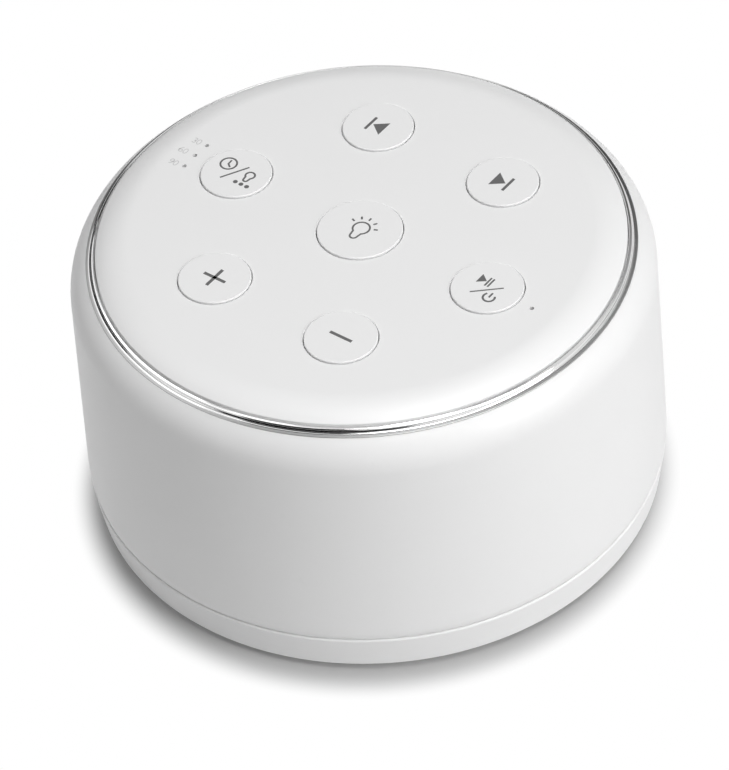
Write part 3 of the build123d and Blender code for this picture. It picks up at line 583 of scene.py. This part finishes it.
tuck_top = SEAM_HEIGHT + TUCK_HEIGHT
tuck_angle = np.linspace(0, pi / 2, 10)
tuck = np.column_stack([
    BODY_RADIUS - WALL_TUCK + WALL_TUCK * np.sin(tuck_angle),
    tuck_top - TUCK_HEIGHT * np.cos(tuck_angle),
])
shoulder_radius = BODY_RADIUS - WALL_DRAUGHT
shoulder_start = RIM_HEIGHT - SHOULDER_DEPTH
flank = np.column_stack([
    np.linspace(BODY_RADIUS, shoulder_radius, 9),
    np.linspace(tuck_top, shoulder_start, 9),
])
shoulder_bend = bend(SHOULDER_DEPTH, SHOULDER_WIDTH, 20)
shoulder = np.column_stack([shoulder_radius - shoulder_bend[:, 1], shoulder_start + shoulder_bend[:, 0]])
wall_outline = np.concatenate([
    [(WALL_INSIDE, SEAM_HEIGHT), (49.3, SEAM_HEIGHT)],
    tuck,
    flank[1:-1],
    shoulder,
    [(46.0, RIM_HEIGHT), (RIM_INSIDE, RIM_HEIGHT), (RIM_INSIDE, RIM_UNDERSIDE), (45.3, RIM_UNDERSIDE)],
    [(47.4, shoulder_start), (WALL_INSIDE, tuck_top), (WALL_INSIDE, SEAM_HEIGHT)],
])
wall = surface("side_wall", turned(wall_outline, steps=ROUND_STEPS))
crease(wall)


def milky_plastic():
    """Translucent milky plastic: light scatters a few millimetres under a satin skin."""
    return moulded_plastic(
        "milky_plastic", grey(0.955), grey(0.945), 0.36, 0.42, 0.35, 0.002,
        Subsurface_Weight=0.25, Subsurface_Scale=0.002, Subsurface_Radius=(1.0, 1.0, 1.0),
    )


dress(wall, milky_plastic())
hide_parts("diffuser_shell")
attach(wall, "housing")


# ---- Trim ring --------------------------------------------------------------------------------
# Chrome-plated ABS ring that lies on the wall's shelf: thin outer foot, crowned band that slopes
# outwards, narrow inner bevel, and a flat lip that the panel clamps.

PANEL_UNDERSIDE = 51.9
FOOT_EDGE = 46.1
BAND_INSIDE = 44.57
# Radii over which the foot's outer edge turns satin and darker; the darker colour is painted shade.
SATIN_SHADE_START = 0.04560
SATIN_SHADE_END = 0.04574

ring_outline = rounded([
    (RIM_INSIDE, RIM_HEIGHT, 0), (FOOT_EDGE, RIM_HEIGHT, 0), (FOOT_EDGE, 51.45, 0.08),
    (45.36, 51.68, 0.28), (45.22, 52.3, 0.38), (44.75, 52.48, 0.08), (BAND_INSIDE, 52.3, 0.06),
    (BAND_INSIDE, PANEL_UNDERSIDE, 0), (RIM_INSIDE, PANEL_UNDERSIDE, 0),
])
ring = surface("chrome_ring", turned(ring_outline, steps=ROUND_STEPS))
crease(ring)


def chrome():
    """Bright plating over plastic: near-mirror with a faint orange peel and hairline turning marks.

    Hairlines are noise in the radius from the ring's axis, much finer across than around. The outer edge
    of the foot, which no polishing wheel reaches, is left satin; its colour is darker there too, which is
    painted shade where the ring meets the wall's rim.
    """
    material, tree, shader = new_material("bright_plating", Metallic=1.0)
    place = add(tree, "TexCoord", {}).outputs["Object"]
    peel = add(tree, "TexNoise", {"Vector": place, "Scale": 500.0, "Detail": 2.0})
    axes = add(tree, "SeparateXYZ", {"Vector": place})
    flat = add(tree, "CombineXYZ", {"X": axes.outputs["X"], "Y": axes.outputs["Y"]})
    radius = add(tree, "VectorMath", {0: flat.outputs[0]}, operation="LENGTH").outputs["Value"]
    hairs = add(tree, "TexNoise", {"W": radius, "Scale": 9000.0, "Detail": 2.0}, noise_dimensions="1D")
    relief = {0: hairs.outputs["Fac"], 1: 0.15, 2: peel.outputs["Fac"]}
    height = add(tree, "Math", relief, operation="MULTIPLY_ADD")
    bump = add(tree, "Bump", {"Height": height.outputs[0], "Distance": 0.0000015})
    haze = add(tree, "MapRange", {"Value": peel.outputs["Fac"], "To Min": 0.05, "To Max": 0.12})
    # Painted shade: towards the foot's outer edge the plating turns darker in colour as well as rougher.
    satin = add(tree, "MapRange", {"Value": radius, "From Min": SATIN_SHADE_START, "From Max": SATIN_SHADE_END})
    bright = add(tree, "Mix", {0: peel.outputs["Fac"], 6: grey(0.93), 7: grey(0.90)}, data_type="RGBA")
    dull_and_shade = {0: satin.outputs[0], 6: bright.outputs[2], 7: grey(0.68)}
    tone = add(tree, "Mix", dull_and_shade, data_type="RGBA")
    rough = add(tree, "Mix", {0: satin.outputs[0], 2: haze.outputs[0], 3: 0.3}, data_type="FLOAT")
    link(shader, Normal=bump.outputs[0], Roughness=rough.outputs[0], Base_Color=tone.outputs[2])
    return material


dress(ring, chrome())
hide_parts("trim_ring")
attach(ring, "housing")


# ---- Control panel ----------------------------------------------------------------------------
# White moulded disc, flat in the middle and rolled down at its rim, with seven button holes with
# eased edges, four pinholes over light pipes, and three towers below that take the case screws.

PANEL_TOP = 54.5
BUTTON_CIRCLE = 26.1
CAP_RADIUS = 6.1
LIGHT_CAP_RADIUS = 7.2
BUTTON_GAP = 0.15
HOLE_EASING = 0.15
ROLL_START = 38.8
ROLL_WIDTH = 5.6
ROLL_DROP = 1.75
RIM_STEPS = 48  # of the rim in each sixth of the panel
SPOKE_STEPS = 20  # along the line between two outer fields
SIDE_STEPS = 16  # along the line between the inner field and an outer one
PIPE_CIRCLE = 35.0
TIMER_LIGHT_SPACING = 3.1
PINHOLE_RADIUS = 0.4

# Places on a circle are rounded to a thousandth of a millimetre.
BUTTON_SPOTS = {"light": np.zeros(2)}
for sixth, name in enumerate(KEY_NAMES[1:]):
    BUTTON_SPOTS[name] = np.round(moved((BUTTON_CIRCLE, 0.0), turn=60 * sixth), 3)


def run(start, end, steps):
    """Evenly spaced points (x, y) from a start up to, but not including, an end."""
    share = np.arange(steps)[:, None] / steps
    return np.array(start) * (1 - share) + np.array(end) * share


def hole_field(border, middle, hole_radius):
    """Grid of the panel round one button hole, from the field's border in to the hole and back.

    Each line of the grid starts on the border at the underside, runs in to the hole, up its wall,
    over a quarter-round easing, and out along the top to the same point of the border.
    """
    border = np.concatenate([border, border[:1]])
    direction = border - middle
    direction /= np.linalg.norm(direction, axis=1)[:, None]
    ease = np.linspace(0, pi / 2, 6)
    eased = hole_radius + HOLE_EASING * (1 - np.cos(ease))
    radii = [hole_radius, *eased, hole_radius + HOLE_EASING + 0.05]
    heights = [PANEL_UNDERSIDE, *(PANEL_TOP - HOLE_EASING * (1 - np.sin(ease))), PANEL_TOP]
    lines = [np.column_stack([border, np.full(len(border), PANEL_UNDERSIDE)])]
    for radius, height in zip(radii, heights):
        lines.append(np.column_stack([middle + direction * radius, np.full(len(border), height)]))
    lines.append(np.column_stack([border, np.full(len(border), PANEL_TOP)]))
    return np.stack(lines, 1)[::-1]


half_pitch = BUTTON_CIRCLE / 2
inner_corners = moved(polygon(half_pitch / cos(pi / 6), 6), turn=-30)
outer_corners = moved(polygon(ROLL_START, 6), turn=-30)
rim_angle = np.radians(np.arange(RIM_STEPS) * 60 / RIM_STEPS - 30)
rim_arc = ROLL_START * np.column_stack([np.cos(rim_angle), np.sin(rim_angle)])
outer_border = np.concatenate([
    rim_arc,
    run(outer_corners[1], inner_corners[1], SPOKE_STEPS),
    run(inner_corners[1], inner_corners[0], SIDE_STEPS),
    run(inner_corners[0], outer_corners[0], SPOKE_STEPS),
])
following_corners = np.roll(inner_corners, -1, 0)
inner_border = np.concatenate([
    run(corner, following, SIDE_STEPS) for corner, following in zip(inner_corners, following_corners)
])
fields = [hole_field(inner_border, np.zeros(2), LIGHT_CAP_RADIUS + BUTTON_GAP)]
outer_field = hole_field(outer_border, np.array([BUTTON_CIRCLE, 0.0]), CAP_RADIUS + BUTTON_GAP)
for sixth in range(6):
    fields.append(moved(outer_field, turn=60 * sixth))

roll = (ROLL_START, PANEL_TOP) + bend(ROLL_WIDTH, ROLL_DROP, 24) * (1, -1)
rim_edge = rounded([
    (ROLL_START, PANEL_UNDERSIDE, 0), (ROLL_START + ROLL_WIDTH, PANEL_UNDERSIDE, 0), (*roll[-1], 0.2),
    (*roll[-4], 0),
], 5)[1:-2]
rim_outline = np.concatenate([[(ROLL_START, PANEL_UNDERSIDE)], rim_edge, roll[-5::-1]])
panel_rim = moved(turned(rim_outline, steps=6 * RIM_STEPS), turn=-30)
panel = surface("control_panel", *fields, panel_rim)

timer_light_turn = degrees(TIMER_LIGHT_SPACING / PIPE_CIRCLE)
PIPE_SPOTS = [
    np.round(moved((PIPE_CIRCLE, 0.0), turn=turn), 3)
    for turn in (0, 180 - timer_light_turn, 180, 180 + timer_light_turn)
]
pipe_well = prism(moved(polygon(1.06, 4), turn=45), 51.0, 53.7)
pinhole = prism(polygon(PINHOLE_RADIUS, 24), 53.5, 55.0)
cut(panel, *[moved(pipe_well, x, y) for x, y in PIPE_SPOTS])
cut(panel, *[moved(pinhole, x, y) for x, y in PIPE_SPOTS])
crease(panel)
panel_plastic = moulded_plastic("panel_plastic", grey(0.955), grey(0.945), 0.34, 0.40, 0.3, 0.0015)
dress(panel, panel_plastic)
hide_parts("top_panel")
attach(panel, "housing")

wide_tower = prism(polygon(3.8, 6), 45.7, PANEL_UNDERSIDE + 0.05)
narrow_tower = prism(polygon(2.8, 6), 5.0, 45.75)
tower_grids = []
for x, y in TOWER_SPOTS:
    tower_grids.append(moved(wide_tower, x, y))
    tower_grids.append(moved(narrow_tower, x, y))
towers = surface("panel_towers", *tower_grids)
crease(towers)
dress(towers, panel_plastic)
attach(towers, "housing")


# ---- Buttons ----------------------------------------------------------------------------------
# Seven white caps with rounded edges, hollow below with a post to the switch. Three lugs at the
# foot of each keep it in the panel. Each moves with its own key.

CAP_TOP = 54.79
CAP_EDGE_ROUNDING = 0.2
CAP_SKIRT = 1.4
CROWN_UNDERSIDE = 53.6
POST_RADIUS = 1.6
POST_BOTTOM = 50.0
LUG_REACH = 0.8
LUG_HALF_WIDTH = 1.0
LUG_TOP = 53.1


def cap_outline(radius):
    """Outline of a cap: out under its post, up, down inside the skirt, up the side and in."""
    hollow = radius - CAP_SKIRT
    return rounded([
        (0, POST_BOTTOM, 0), (POST_RADIUS, POST_BOTTOM, 0), (POST_RADIUS, CROWN_UNDERSIDE, 0),
        (hollow, CROWN_UNDERSIDE, 0), (hollow, PANEL_UNDERSIDE, 0), (radius, PANEL_UNDERSIDE, 0),
        (radius, CAP_TOP, CAP_EDGE_ROUNDING), (0, CAP_TOP, 0),
    ], 6)[:-1]


def cap_lug(radius):
    """Grid of the lug that sticks out from a cap on the x axis."""
    near = radius - LUG_REACH
    far = radius + LUG_REACH
    edge = [(near, -LUG_HALF_WIDTH), (far, -LUG_HALF_WIDTH), (far, LUG_HALF_WIDTH), (near, LUG_HALF_WIDTH)]
    return prism(np.array(edge), PANEL_UNDERSIDE, LUG_TOP)


cap_plastic = moulded_plastic("cap_plastic", grey(0.955), grey(0.945), 0.36, 0.42, 0.3, 0.0015)
for name, (x, y) in BUTTON_SPOTS.items():
    radius = LIGHT_CAP_RADIUS if name == "light" else CAP_RADIUS
    lugs = [moved(moved(cap_lug(radius), turn=90 + 120 * i), x, y) for i in range(3)]
    cap = surface("cap_" + name, turned(cap_outline(radius), x, y, 128), *lugs)
    crease(cap)
    dress(cap, cap_plastic)
    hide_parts("button_" + name)
    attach(cap, name + "_key")


# ---- Printed symbols --------------------------------------------------------------------------
# Grey pad-printed symbols on the caps, and faint plain numbers for the timer's minutes beside its
# pinholes. The ink is a few hundredths of a millimetre thick.

INK_THICKNESS = 0.02
INK_PROUD = 0.01


def ink_line(path, width, centre, top, closed=False):
    """Grid of a printed line: a flat rectangle of the given width carried along a path (x, y).

    The rectangle stands across the path, along the mean of its two runs' normals, and shrinks to a
    point at the ends of an open path, which closes it.
    """
    path = np.asarray(path, float) + centre
    if closed:
        path = np.concatenate([path, path[:1]])
        runs = np.roll(path[:-1], -1, 0) - path[:-1]
        runs /= np.linalg.norm(runs, axis=1)[:, None]
        ahead = np.concatenate([runs, runs[:1]])
        behind = np.roll(runs, 1, 0)
        behind = np.concatenate([behind, behind[:1]])
    else:
        runs = np.diff(path, axis=0)
        runs /= np.linalg.norm(runs, axis=1)[:, None]
        ahead = np.concatenate([runs, runs[-1:]])
        behind = np.concatenate([runs[:1], runs])
    along = ahead + behind
    along /= np.linalg.norm(along, axis=1)[:, None]
    spread = 1 / np.maximum((along * ahead).sum(1), 0.5)
    across = np.column_stack([-along[:, 1], along[:, 0]]) * (spread * width / 2)[:, None]
    left = path + across
    right = path - across
    low = top - INK_THICKNESS
    sides = [(left, top), (left, low), (right, low), (right, top), (left, top)]
    grid = np.stack([np.column_stack([at, np.full(len(at), z)]) for at, z in sides], 1)
    if closed:
        return grid
    start = np.broadcast_to(grid[:1].mean(1, keepdims=True), grid[:1].shape)
    end = np.broadcast_to(grid[-1:].mean(1, keepdims=True), grid[-1:].shape)
    return np.concatenate([start, grid, end])


def arc(middle, radius, start, end, steps=24):
    """Points (x, y) on an arc between two angles in degrees."""
    angle = np.radians(np.linspace(start, end, steps + 1))
    return np.array(middle) + radius * np.column_stack([np.cos(angle), np.sin(angle)])


def circle(middle, radius, steps=40):
    """Points (x, y) once round a circle."""
    return arc(middle, radius, 0, 360, steps)[:-1]


def triangle(tip, base, height):
    """A filled triangle as a line whose width falls from its base's length to nothing at its tip."""
    return [base, tip], np.array([height, 0.001])


def dot(middle, radius):
    """A filled dot as a short line as wide as the dot's chord."""
    along = radius * np.cos(np.linspace(pi, 0, 13))
    path = np.column_stack([middle[0] + along, np.full(13, middle[1])])
    return path, 2 * np.sqrt(np.maximum(radius**2 - along**2, 1e-6))


def bulb(x, y, globe, neck, foot):
    """Outline of a lamp bulb: a globe open below, its neck, and a round foot."""
    opening = degrees(np.arcsin(neck / globe))
    return np.concatenate([
        arc((x, y), globe, -90 + opening * 1.25, 270 - opening * 1.25, 28),
        arc((x, foot), neck, 180, 360, 10),
    ])


def ray(turn):
    """Short line that points away from the bulb of the light button at an angle in degrees."""
    return moved([(2.15, 0.0), (2.85, 0.0)], 0.05, 0.3, turn)


# Strokes of each symbol: path, width, and whether the path is closed.
SYMBOLS = {
    "light": [
        (bulb(0.07, 0.3, 1.45, 0.66, -1.85), 0.33, True),
        *((ray(turn), 0.33, False) for turn in (22, 56, 90, 124, 158)),
    ],
    "play": [
        (*triangle((-0.86, 1.08), (-2.35, 1.08), 2.2), False),
        ([(-0.6, 0.0), (-0.6, 2.15)], 0.32, False),
        ([(-0.03, 0.0), (-0.03, 2.15)], 0.32, False),
        ([(-1.75, -2.5), (2.45, 1.2)], 0.28, False),
        (arc((1.67, -1.92), 1.0, 140, 400), 0.36, False),
        ([(1.67, -1.95), (1.67, -0.75)], 0.34, False),
    ],
    "next": [
        (*triangle((0.68, -0.2), (-1.65, -0.2), 3.5), False),
        ([(1.22, -1.95), (1.22, 1.55)], 0.52, False),
    ],
    "previous": [
        (*triangle((-1.0, 0.0), (1.33, 0.0), 3.5), False),
        ([(-1.53, -1.75), (-1.53, 1.75)], 0.52, False),
    ],
    "timer": [
        (circle((-2.53, 1.2), 1.42), 0.34, True),
        ([(-2.58, 2.15), (-2.55, 1.15), (-1.8, 0.55)], 0.32, False),
        ([(-1.62, -2.4), (1.05, 2.3)], 0.32, False),
        (bulb(2.43, 0.72, 0.82, 0.42, -0.55), 0.34, True),
        (*dot((1.25, -1.85), 0.42), False),
        (*dot((2.45, -1.85), 0.42), False),
        (*dot((3.65, -1.85), 0.42), False),
    ],
    "plus": [([(-2.2, 0), (2.2, 0)], 0.6, False), ([(0, -2.2), (0, 2.2)], 0.6, False)],
    "minus": [([(-2.2, 0), (2.2, 0)], 0.6, False)],
}


def printed_ink(name, light, dark):
    """Matt ink: a little speckled in tone and roughness."""
    material, tree, shader = new_material(name)
    place = add(tree, "TexCoord", {}).outputs["Object"]
    speckle = add(tree, "TexNoise", {"Vector": place, "Scale": 5000.0, "Detail": 2.0})
    tone = add(tree, "Mix", {0: speckle.outputs["Fac"], 6: light, 7: dark}, data_type="RGBA")
    gloss = add(tree, "MapRange", {"Value": speckle.outputs["Fac"], "To Min": 0.45, "To Max": 0.6})
    link(shader, Base_Color=tone.outputs[2], Roughness=gloss.outputs[0])
    return material


symbol_ink = printed_ink("symbol_ink", grey(0.44), grey(0.38))
for name, strokes in SYMBOLS.items():
    grids = [
        ink_line(path, width, BUTTON_SPOTS[name], CAP_TOP + INK_PROUD, closed)
        for path, width, closed in strokes
    ]
    symbol = surface("symbol_" + name, *grids)
    crease(symbol)
    dress(symbol, symbol_ink)
    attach(symbol, name + "_key")


def numeral(figure, x, y):
    """Strokes of a plain figure 0, 3, 6 or 9, 1.2 mm high, round x, y."""
    oval = circle((0, 0), 1.0, 24) * (0.34, 0.6)
    bows = np.concatenate([arc((0, 0.3), 0.3, 150, -80, 12), arc((0, -0.3), 0.32, 80, -150, 12)])
    tail = np.array([(0.24, 0.6), (0.0, 0.5), (-0.2, 0.27), (-0.31, 0.0), (-0.33, -0.27)])
    strokes = {
        "0": [(oval, True)],
        "3": [(bows, False)],
        "6": [(circle((0, -0.27), 0.33, 24), True), (tail, False)],
        "9": [(-circle((0, -0.27), 0.33, 24), True), (-tail, False)],
    }[figure]
    return [(path + (x, y), closed) for path, closed in strokes]


NUMBER_SPOTS = {"30": (-37.0, 3.1), "60": (-37.5, 0.0), "90": (-37.0, -3.3)}
HALF_FIGURE_PITCH = 0.46
FIGURE_STROKE = 0.17

number_grids = []
for number, (x, y) in NUMBER_SPOTS.items():
    for figure, shift in zip(number, (-HALF_FIGURE_PITCH, HALF_FIGURE_PITCH)):
        for path, closed in numeral(figure, x + shift, y):
            number_grids.append(ink_line(path, FIGURE_STROKE, np.zeros(2), PANEL_TOP + INK_PROUD, closed))
numbers = surface("timer_numbers", *number_grids)
crease(numbers)
dress(numbers, printed_ink("pale_ink", grey(0.84), grey(0.80)))
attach(numbers, "housing")


# ---- Light pipes ------------------------------------------------------------------------------
# Four clear acrylic rods, pushed into square wells under the panel's pinholes, that carry the
# indicators' light up. Their ends look dark grey while the lights are off.

def smoky_clear():
    """Smoky clear acrylic with faint flow lines."""
    material, tree, shader = new_material("smoky_acrylic", Transmission_Weight=0.4, IOR=1.49)
    place = add(tree, "TexCoord", {}).outputs["Object"]
    flow = add(tree, "TexNoise", {"Vector": place, "Scale": 900.0, "Distortion": 1.0})
    tone = add(tree, "Mix", {0: flow.outputs["Fac"], 6: grey(0.45), 7: grey(0.35)}, data_type="RGBA")
    gloss = add(tree, "MapRange", {"Value": flow.outputs["Fac"], "To Min": 0.1, "To Max": 0.25})
    link(shader, Base_Color=tone.outputs[2], Roughness=gloss.outputs[0])
    return material


dress("light_pipes", smoky_clear())


# ---- Case screws ------------------------------------------------------------------------------
# Three zinc-plated pan head screws with cross recesses, driven up through the base's sunk posts
# into the towers of the panel.

HEAD_BOTTOM = 1.9
CROWN_RADIUS = 1.95
CROWN_FALL = 0.3
HEAD_RADIUS = 2.2
SHANK_RADIUS = 1.15
SCREW_TIP = 10.4
RECESS_DEPTH = 0.75
ARM_HALF_WIDTH = 0.36
ARM_HALF_LENGTH = 1.2


def screw(x, y):
    """Grid of a screw: a turned outline whose head is pushed in by the depth of a cross recess.

    Each arm of the cross is deep where both its half width and its half length are not yet used
    up; the recess is the deeper of the two arms. Each screw has stopped at an angle of its own.
    """
    crown = np.linspace(0, CROWN_RADIUS, 40)
    outline = np.concatenate([
        np.column_stack([crown, HEAD_BOTTOM + CROWN_FALL * (crown / CROWN_RADIUS) ** 3]),
        [(2.1, 2.32), (HEAD_RADIUS, 2.55), (HEAD_RADIUS, 3.3), (2.12, SCREW_SEAT)],
        [(SHANK_RADIUS, SCREW_SEAT), (SHANK_RADIUS, 10.0), (0.7, SCREW_TIP), (0, SCREW_TIP)],
    ])
    grid = turned(outline, steps=144)
    wide = np.abs(grid[..., 0])
    deep = np.abs(grid[..., 1])
    arms = [
        np.clip((ARM_HALF_WIDTH - across) / 0.07, 0, 1) * np.clip((ARM_HALF_LENGTH - along) / 0.3, 0, 1)
        for across, along in ((wide, deep), (deep, wide))
    ]
    in_crown = np.arange(len(outline)) < len(crown)
    grid[..., 2] += RECESS_DEPTH * np.maximum(*arms) * in_crown
    return moved(grid, x, y, turn=17 * x)


screws = surface("cross_screws", *[screw(x, y) for x, y in TOWER_SPOTS])
crease(screws, 40)
dress(screws, zinc_plate)
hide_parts("case_screws")
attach(screws, "housing")


# ---- Studio -----------------------------------------------------------------------------------
# White floor that keeps the object's shadow close round it, deepened by painted shade that only the camera
# sees, and runs out to plain white, a white surround, soft lamps, and dark and grey cards that show only
# in reflections, most in the chrome.

# Painted shade: the floor near the object looks darker to the camera than the light it throws back.
SEEN_FLOOR_SHADE = 0.72
FLOOR_BOUNCE = 0.89
SHADOW_MIDDLE = (0.0012, -0.0027, 0.0)
SHADOW_FULL = 0.0468
SHADOW_GONE = 0.0531
WINDOW_RADIUS = 0.0484
WORLD_STRENGTH = 0.02


def ray_share(tree):
    """1 for rays from the camera and for those that metal or glass sends on, 0 for diffuse ones."""
    path = add(tree, "LightPath", {}).outputs
    seen = add(tree, "Math", {0: path["Is Camera Ray"], 1: path["Is Glossy Ray"]}, operation="MAXIMUM")
    either = {0: seen.outputs[0], 1: path["Is Transmission Ray"]}
    return add(tree, "Math", either, operation="MAXIMUM").outputs[0]


def studio_floor():
    """Diffuse near the object, where it holds the shadow, and plain white beyond; clear from below.

    The camera sees a darker tone than the one that throws light back at the object; this is painted shade
    that deepens the ring of shadow round the object. The change to white runs with the distance from a
    point just in front of the object's axis and to its right.
    A round window under the object, hidden from above, lets the lower lamp through.
    """
    material, tree, shader = new_material("studio_floor", Roughness=0.9)
    shader.inputs["Specular IOR Level"].default_value = 0.0
    looked_at = add(tree, "LightPath", {}).outputs["Is Camera Ray"]
    tones = {0: looked_at, 6: grey(FLOOR_BOUNCE), 7: grey(SEEN_FLOOR_SHADE)}
    tone = add(tree, "Mix", tones, data_type="RGBA")
    link(shader, Base_Color=tone.outputs[2])
    place = add(tree, "TexCoord", {}).outputs["Object"]
    off = add(tree, "VectorMath", {0: place, 1: SHADOW_MIDDLE}, operation="SUBTRACT")
    distance = add(tree, "VectorMath", {0: off.outputs[0]}, operation="LENGTH").outputs["Value"]
    fade = {"Value": distance, "From Min": SHADOW_FULL, "From Max": SHADOW_GONE}
    far = add(tree, "MapRange", fade, interpolation_type="SMOOTHSTEP")
    plain = add(tree, "Math", {0: far.outputs[0], 1: ray_share(tree)}, operation="MULTIPLY")
    white = add(tree, "Emission", {"Strength": 1.0})
    seen = add(tree, "MixShader", {0: plain.outputs[0], 1: shader.outputs[0], 2: white.outputs[0]})
    radius = add(tree, "VectorMath", {0: place}, operation="LENGTH").outputs["Value"]
    window = add(tree, "Math", {0: radius, 1: WINDOW_RADIUS}, operation="LESS_THAN").outputs[0]
    unseen = {0: window, 1: looked_at}
    lit_through = add(tree, "Math", unseen, operation="SUBTRACT", use_clamp=True).outputs[0]
    under = add(tree, "NewGeometry", {}).outputs["Backfacing"]
    opening = add(tree, "Math", {0: under, 1: lit_through}, operation="MAXIMUM").outputs[0]
    clear = add(tree, "BsdfTransparent", {})
    both = add(tree, "MixShader", {0: opening, 1: seen.outputs[0], 2: clear.outputs[0]})
    tree.links.new(both.outputs[0], tree.nodes["Material Output"].inputs["Surface"])
    return material


floor = surface("floor", turned([(3000.0, 0.0), (200.0, 0.0), (0.0, 0.0)], steps=64))
dress(floor, studio_floor())

world = bpy.data.worlds.new("studio")
bpy.context.scene.world = world
world.use_nodes = True
surround = world.node_tree
surround.nodes.remove(surround.nodes["Background"])
room = add(surround, "Background", {"Strength": WORLD_STRENGTH})
white = add(surround, "Background", {"Strength": 1.0})
either = add(surround, "MixShader", {0: ray_share(surround), 1: room.outputs[0], 2: white.outputs[0]})
surround.links.new(either.outputs[0], surround.nodes["World Output"].inputs["Surface"])


def facing(azimuth, elevation, distance):
    """Place of something that faces the object; azimuth 0 is the front and 90 the right."""
    turn = Matrix.Rotation(radians(azimuth), 4, "Z") @ Matrix.Rotation(radians(90 - elevation), 4, "X")
    return Matrix.Translation((0, 0, 0.03)) @ turn @ Matrix.Translation((0, 0, distance))


def lamp(name, azimuth, elevation, distance, width, height, level):
    """Soft box; level is its brightness as the object sees it, where 1 is white."""
    light = bpy.data.lights.new(name, "AREA")
    light.shape = "RECTANGLE"
    light.size = width
    light.size_y = height
    light.energy = level * pi * width * height
    box = bpy.data.objects.new(name, light)
    bpy.context.scene.collection.objects.link(box)
    box.matrix_world = facing(azimuth, elevation, distance)


lamp("low_key", 95, 25, 1.2, 0.6, 0.6, 5.4)
lamp("high_key", 95, 75, 1.2, 0.6, 0.6, 4.8)
lamp("front_right", 60, 60, 1.2, 0.6, 0.6, 3.5)
lamp("front_left", -36, 65, 1.2, 0.6, 0.6, 0.7)
lamp("left_fill", -88, 40, 1.2, 1.0, 1.0, 0.95)
lamp("under_fill", 40, -60, 1.2, 0.6, 0.6, 7.0)


def card(name, place, width, height, level):
    """Matt card, sized in metres, that shows only in reflections and casts no shadow."""
    edge = np.array([(-1, -1), (1, -1), (1, 1), (-1, 1)]) * (width * 500, height * 500)
    made = surface(name, prism(edge, -2.0, 0.0))
    made.matrix_world = place
    material, _, shader = new_material(name, Roughness=1.0)
    shader.inputs["Base Color"].default_value = grey(level)
    shader.inputs["Specular IOR Level"].default_value = 0.0
    dress(made, material)
    made.visible_camera = False
    made.visible_diffuse = False
    made.visible_shadow = False


def lying(azimuth, distance):
    """Place of something that lies on the floor."""
    turn = Matrix.Rotation(radians(azimuth), 4, "Z")
    return Matrix.Translation((0, 0, 0.003)) @ turn @ Matrix.Translation((0, -distance, 0))


card("front_card", facing(12, 40, 1.5), 1.2, 2.1, 0.12)
card("front_sheet", lying(12, 0.75), 0.45, 1.2, 0.12)
card("left_card", facing(-118, 34, 1.5), 0.9, 1.2, 0.12)
card("low_card", facing(-84, 12, 0.7), 0.62, 0.33, 0.12)
card("left_sheet", lying(-86, 0.4), 0.5, 0.5, 0.12)
card("far_card", facing(-152, 44, 0.9), 0.75, 1.5, 0.55)
card("back_card", facing(165, 36, 0.8), 0.45, 0.45, 0.95)


CAMERA_AZIMUTH = 40.04
CAMERA_ELEVATION = 41.81
CAMERA_ROLL = -4.84
CAMERA_DISTANCE = 0.8035
AIM_UP = -1.8335
AIM_LEFT = -0.0535

camera_data = bpy.data.cameras.new("camera")
camera_data.lens = 225.96
camera_data.clip_end = 20
camera = bpy.data.objects.new("camera", camera_data)
bpy.context.scene.collection.objects.link(camera)
camera.matrix_world = (
    Matrix.Translation((0, 0, PANEL_TOP * 0.001))
    @ Matrix.Rotation(radians(CAMERA_AZIMUTH), 4, "Z")
    @ Matrix.Rotation(radians(90 - CAMERA_ELEVATION), 4, "X")
    @ Matrix.Rotation(radians(CAMERA_ROLL), 4, "Z")
    @ Matrix.Translation((0, 0, CAMERA_DISTANCE))
    @ Matrix.Rotation(radians(AIM_UP), 4, "X")
    @ Matrix.Rotation(radians(AIM_LEFT), 4, "Y")
)
bpy.context.scene.camera = camera
bpy.context.scene.view_settings.view_transform = "Standard"
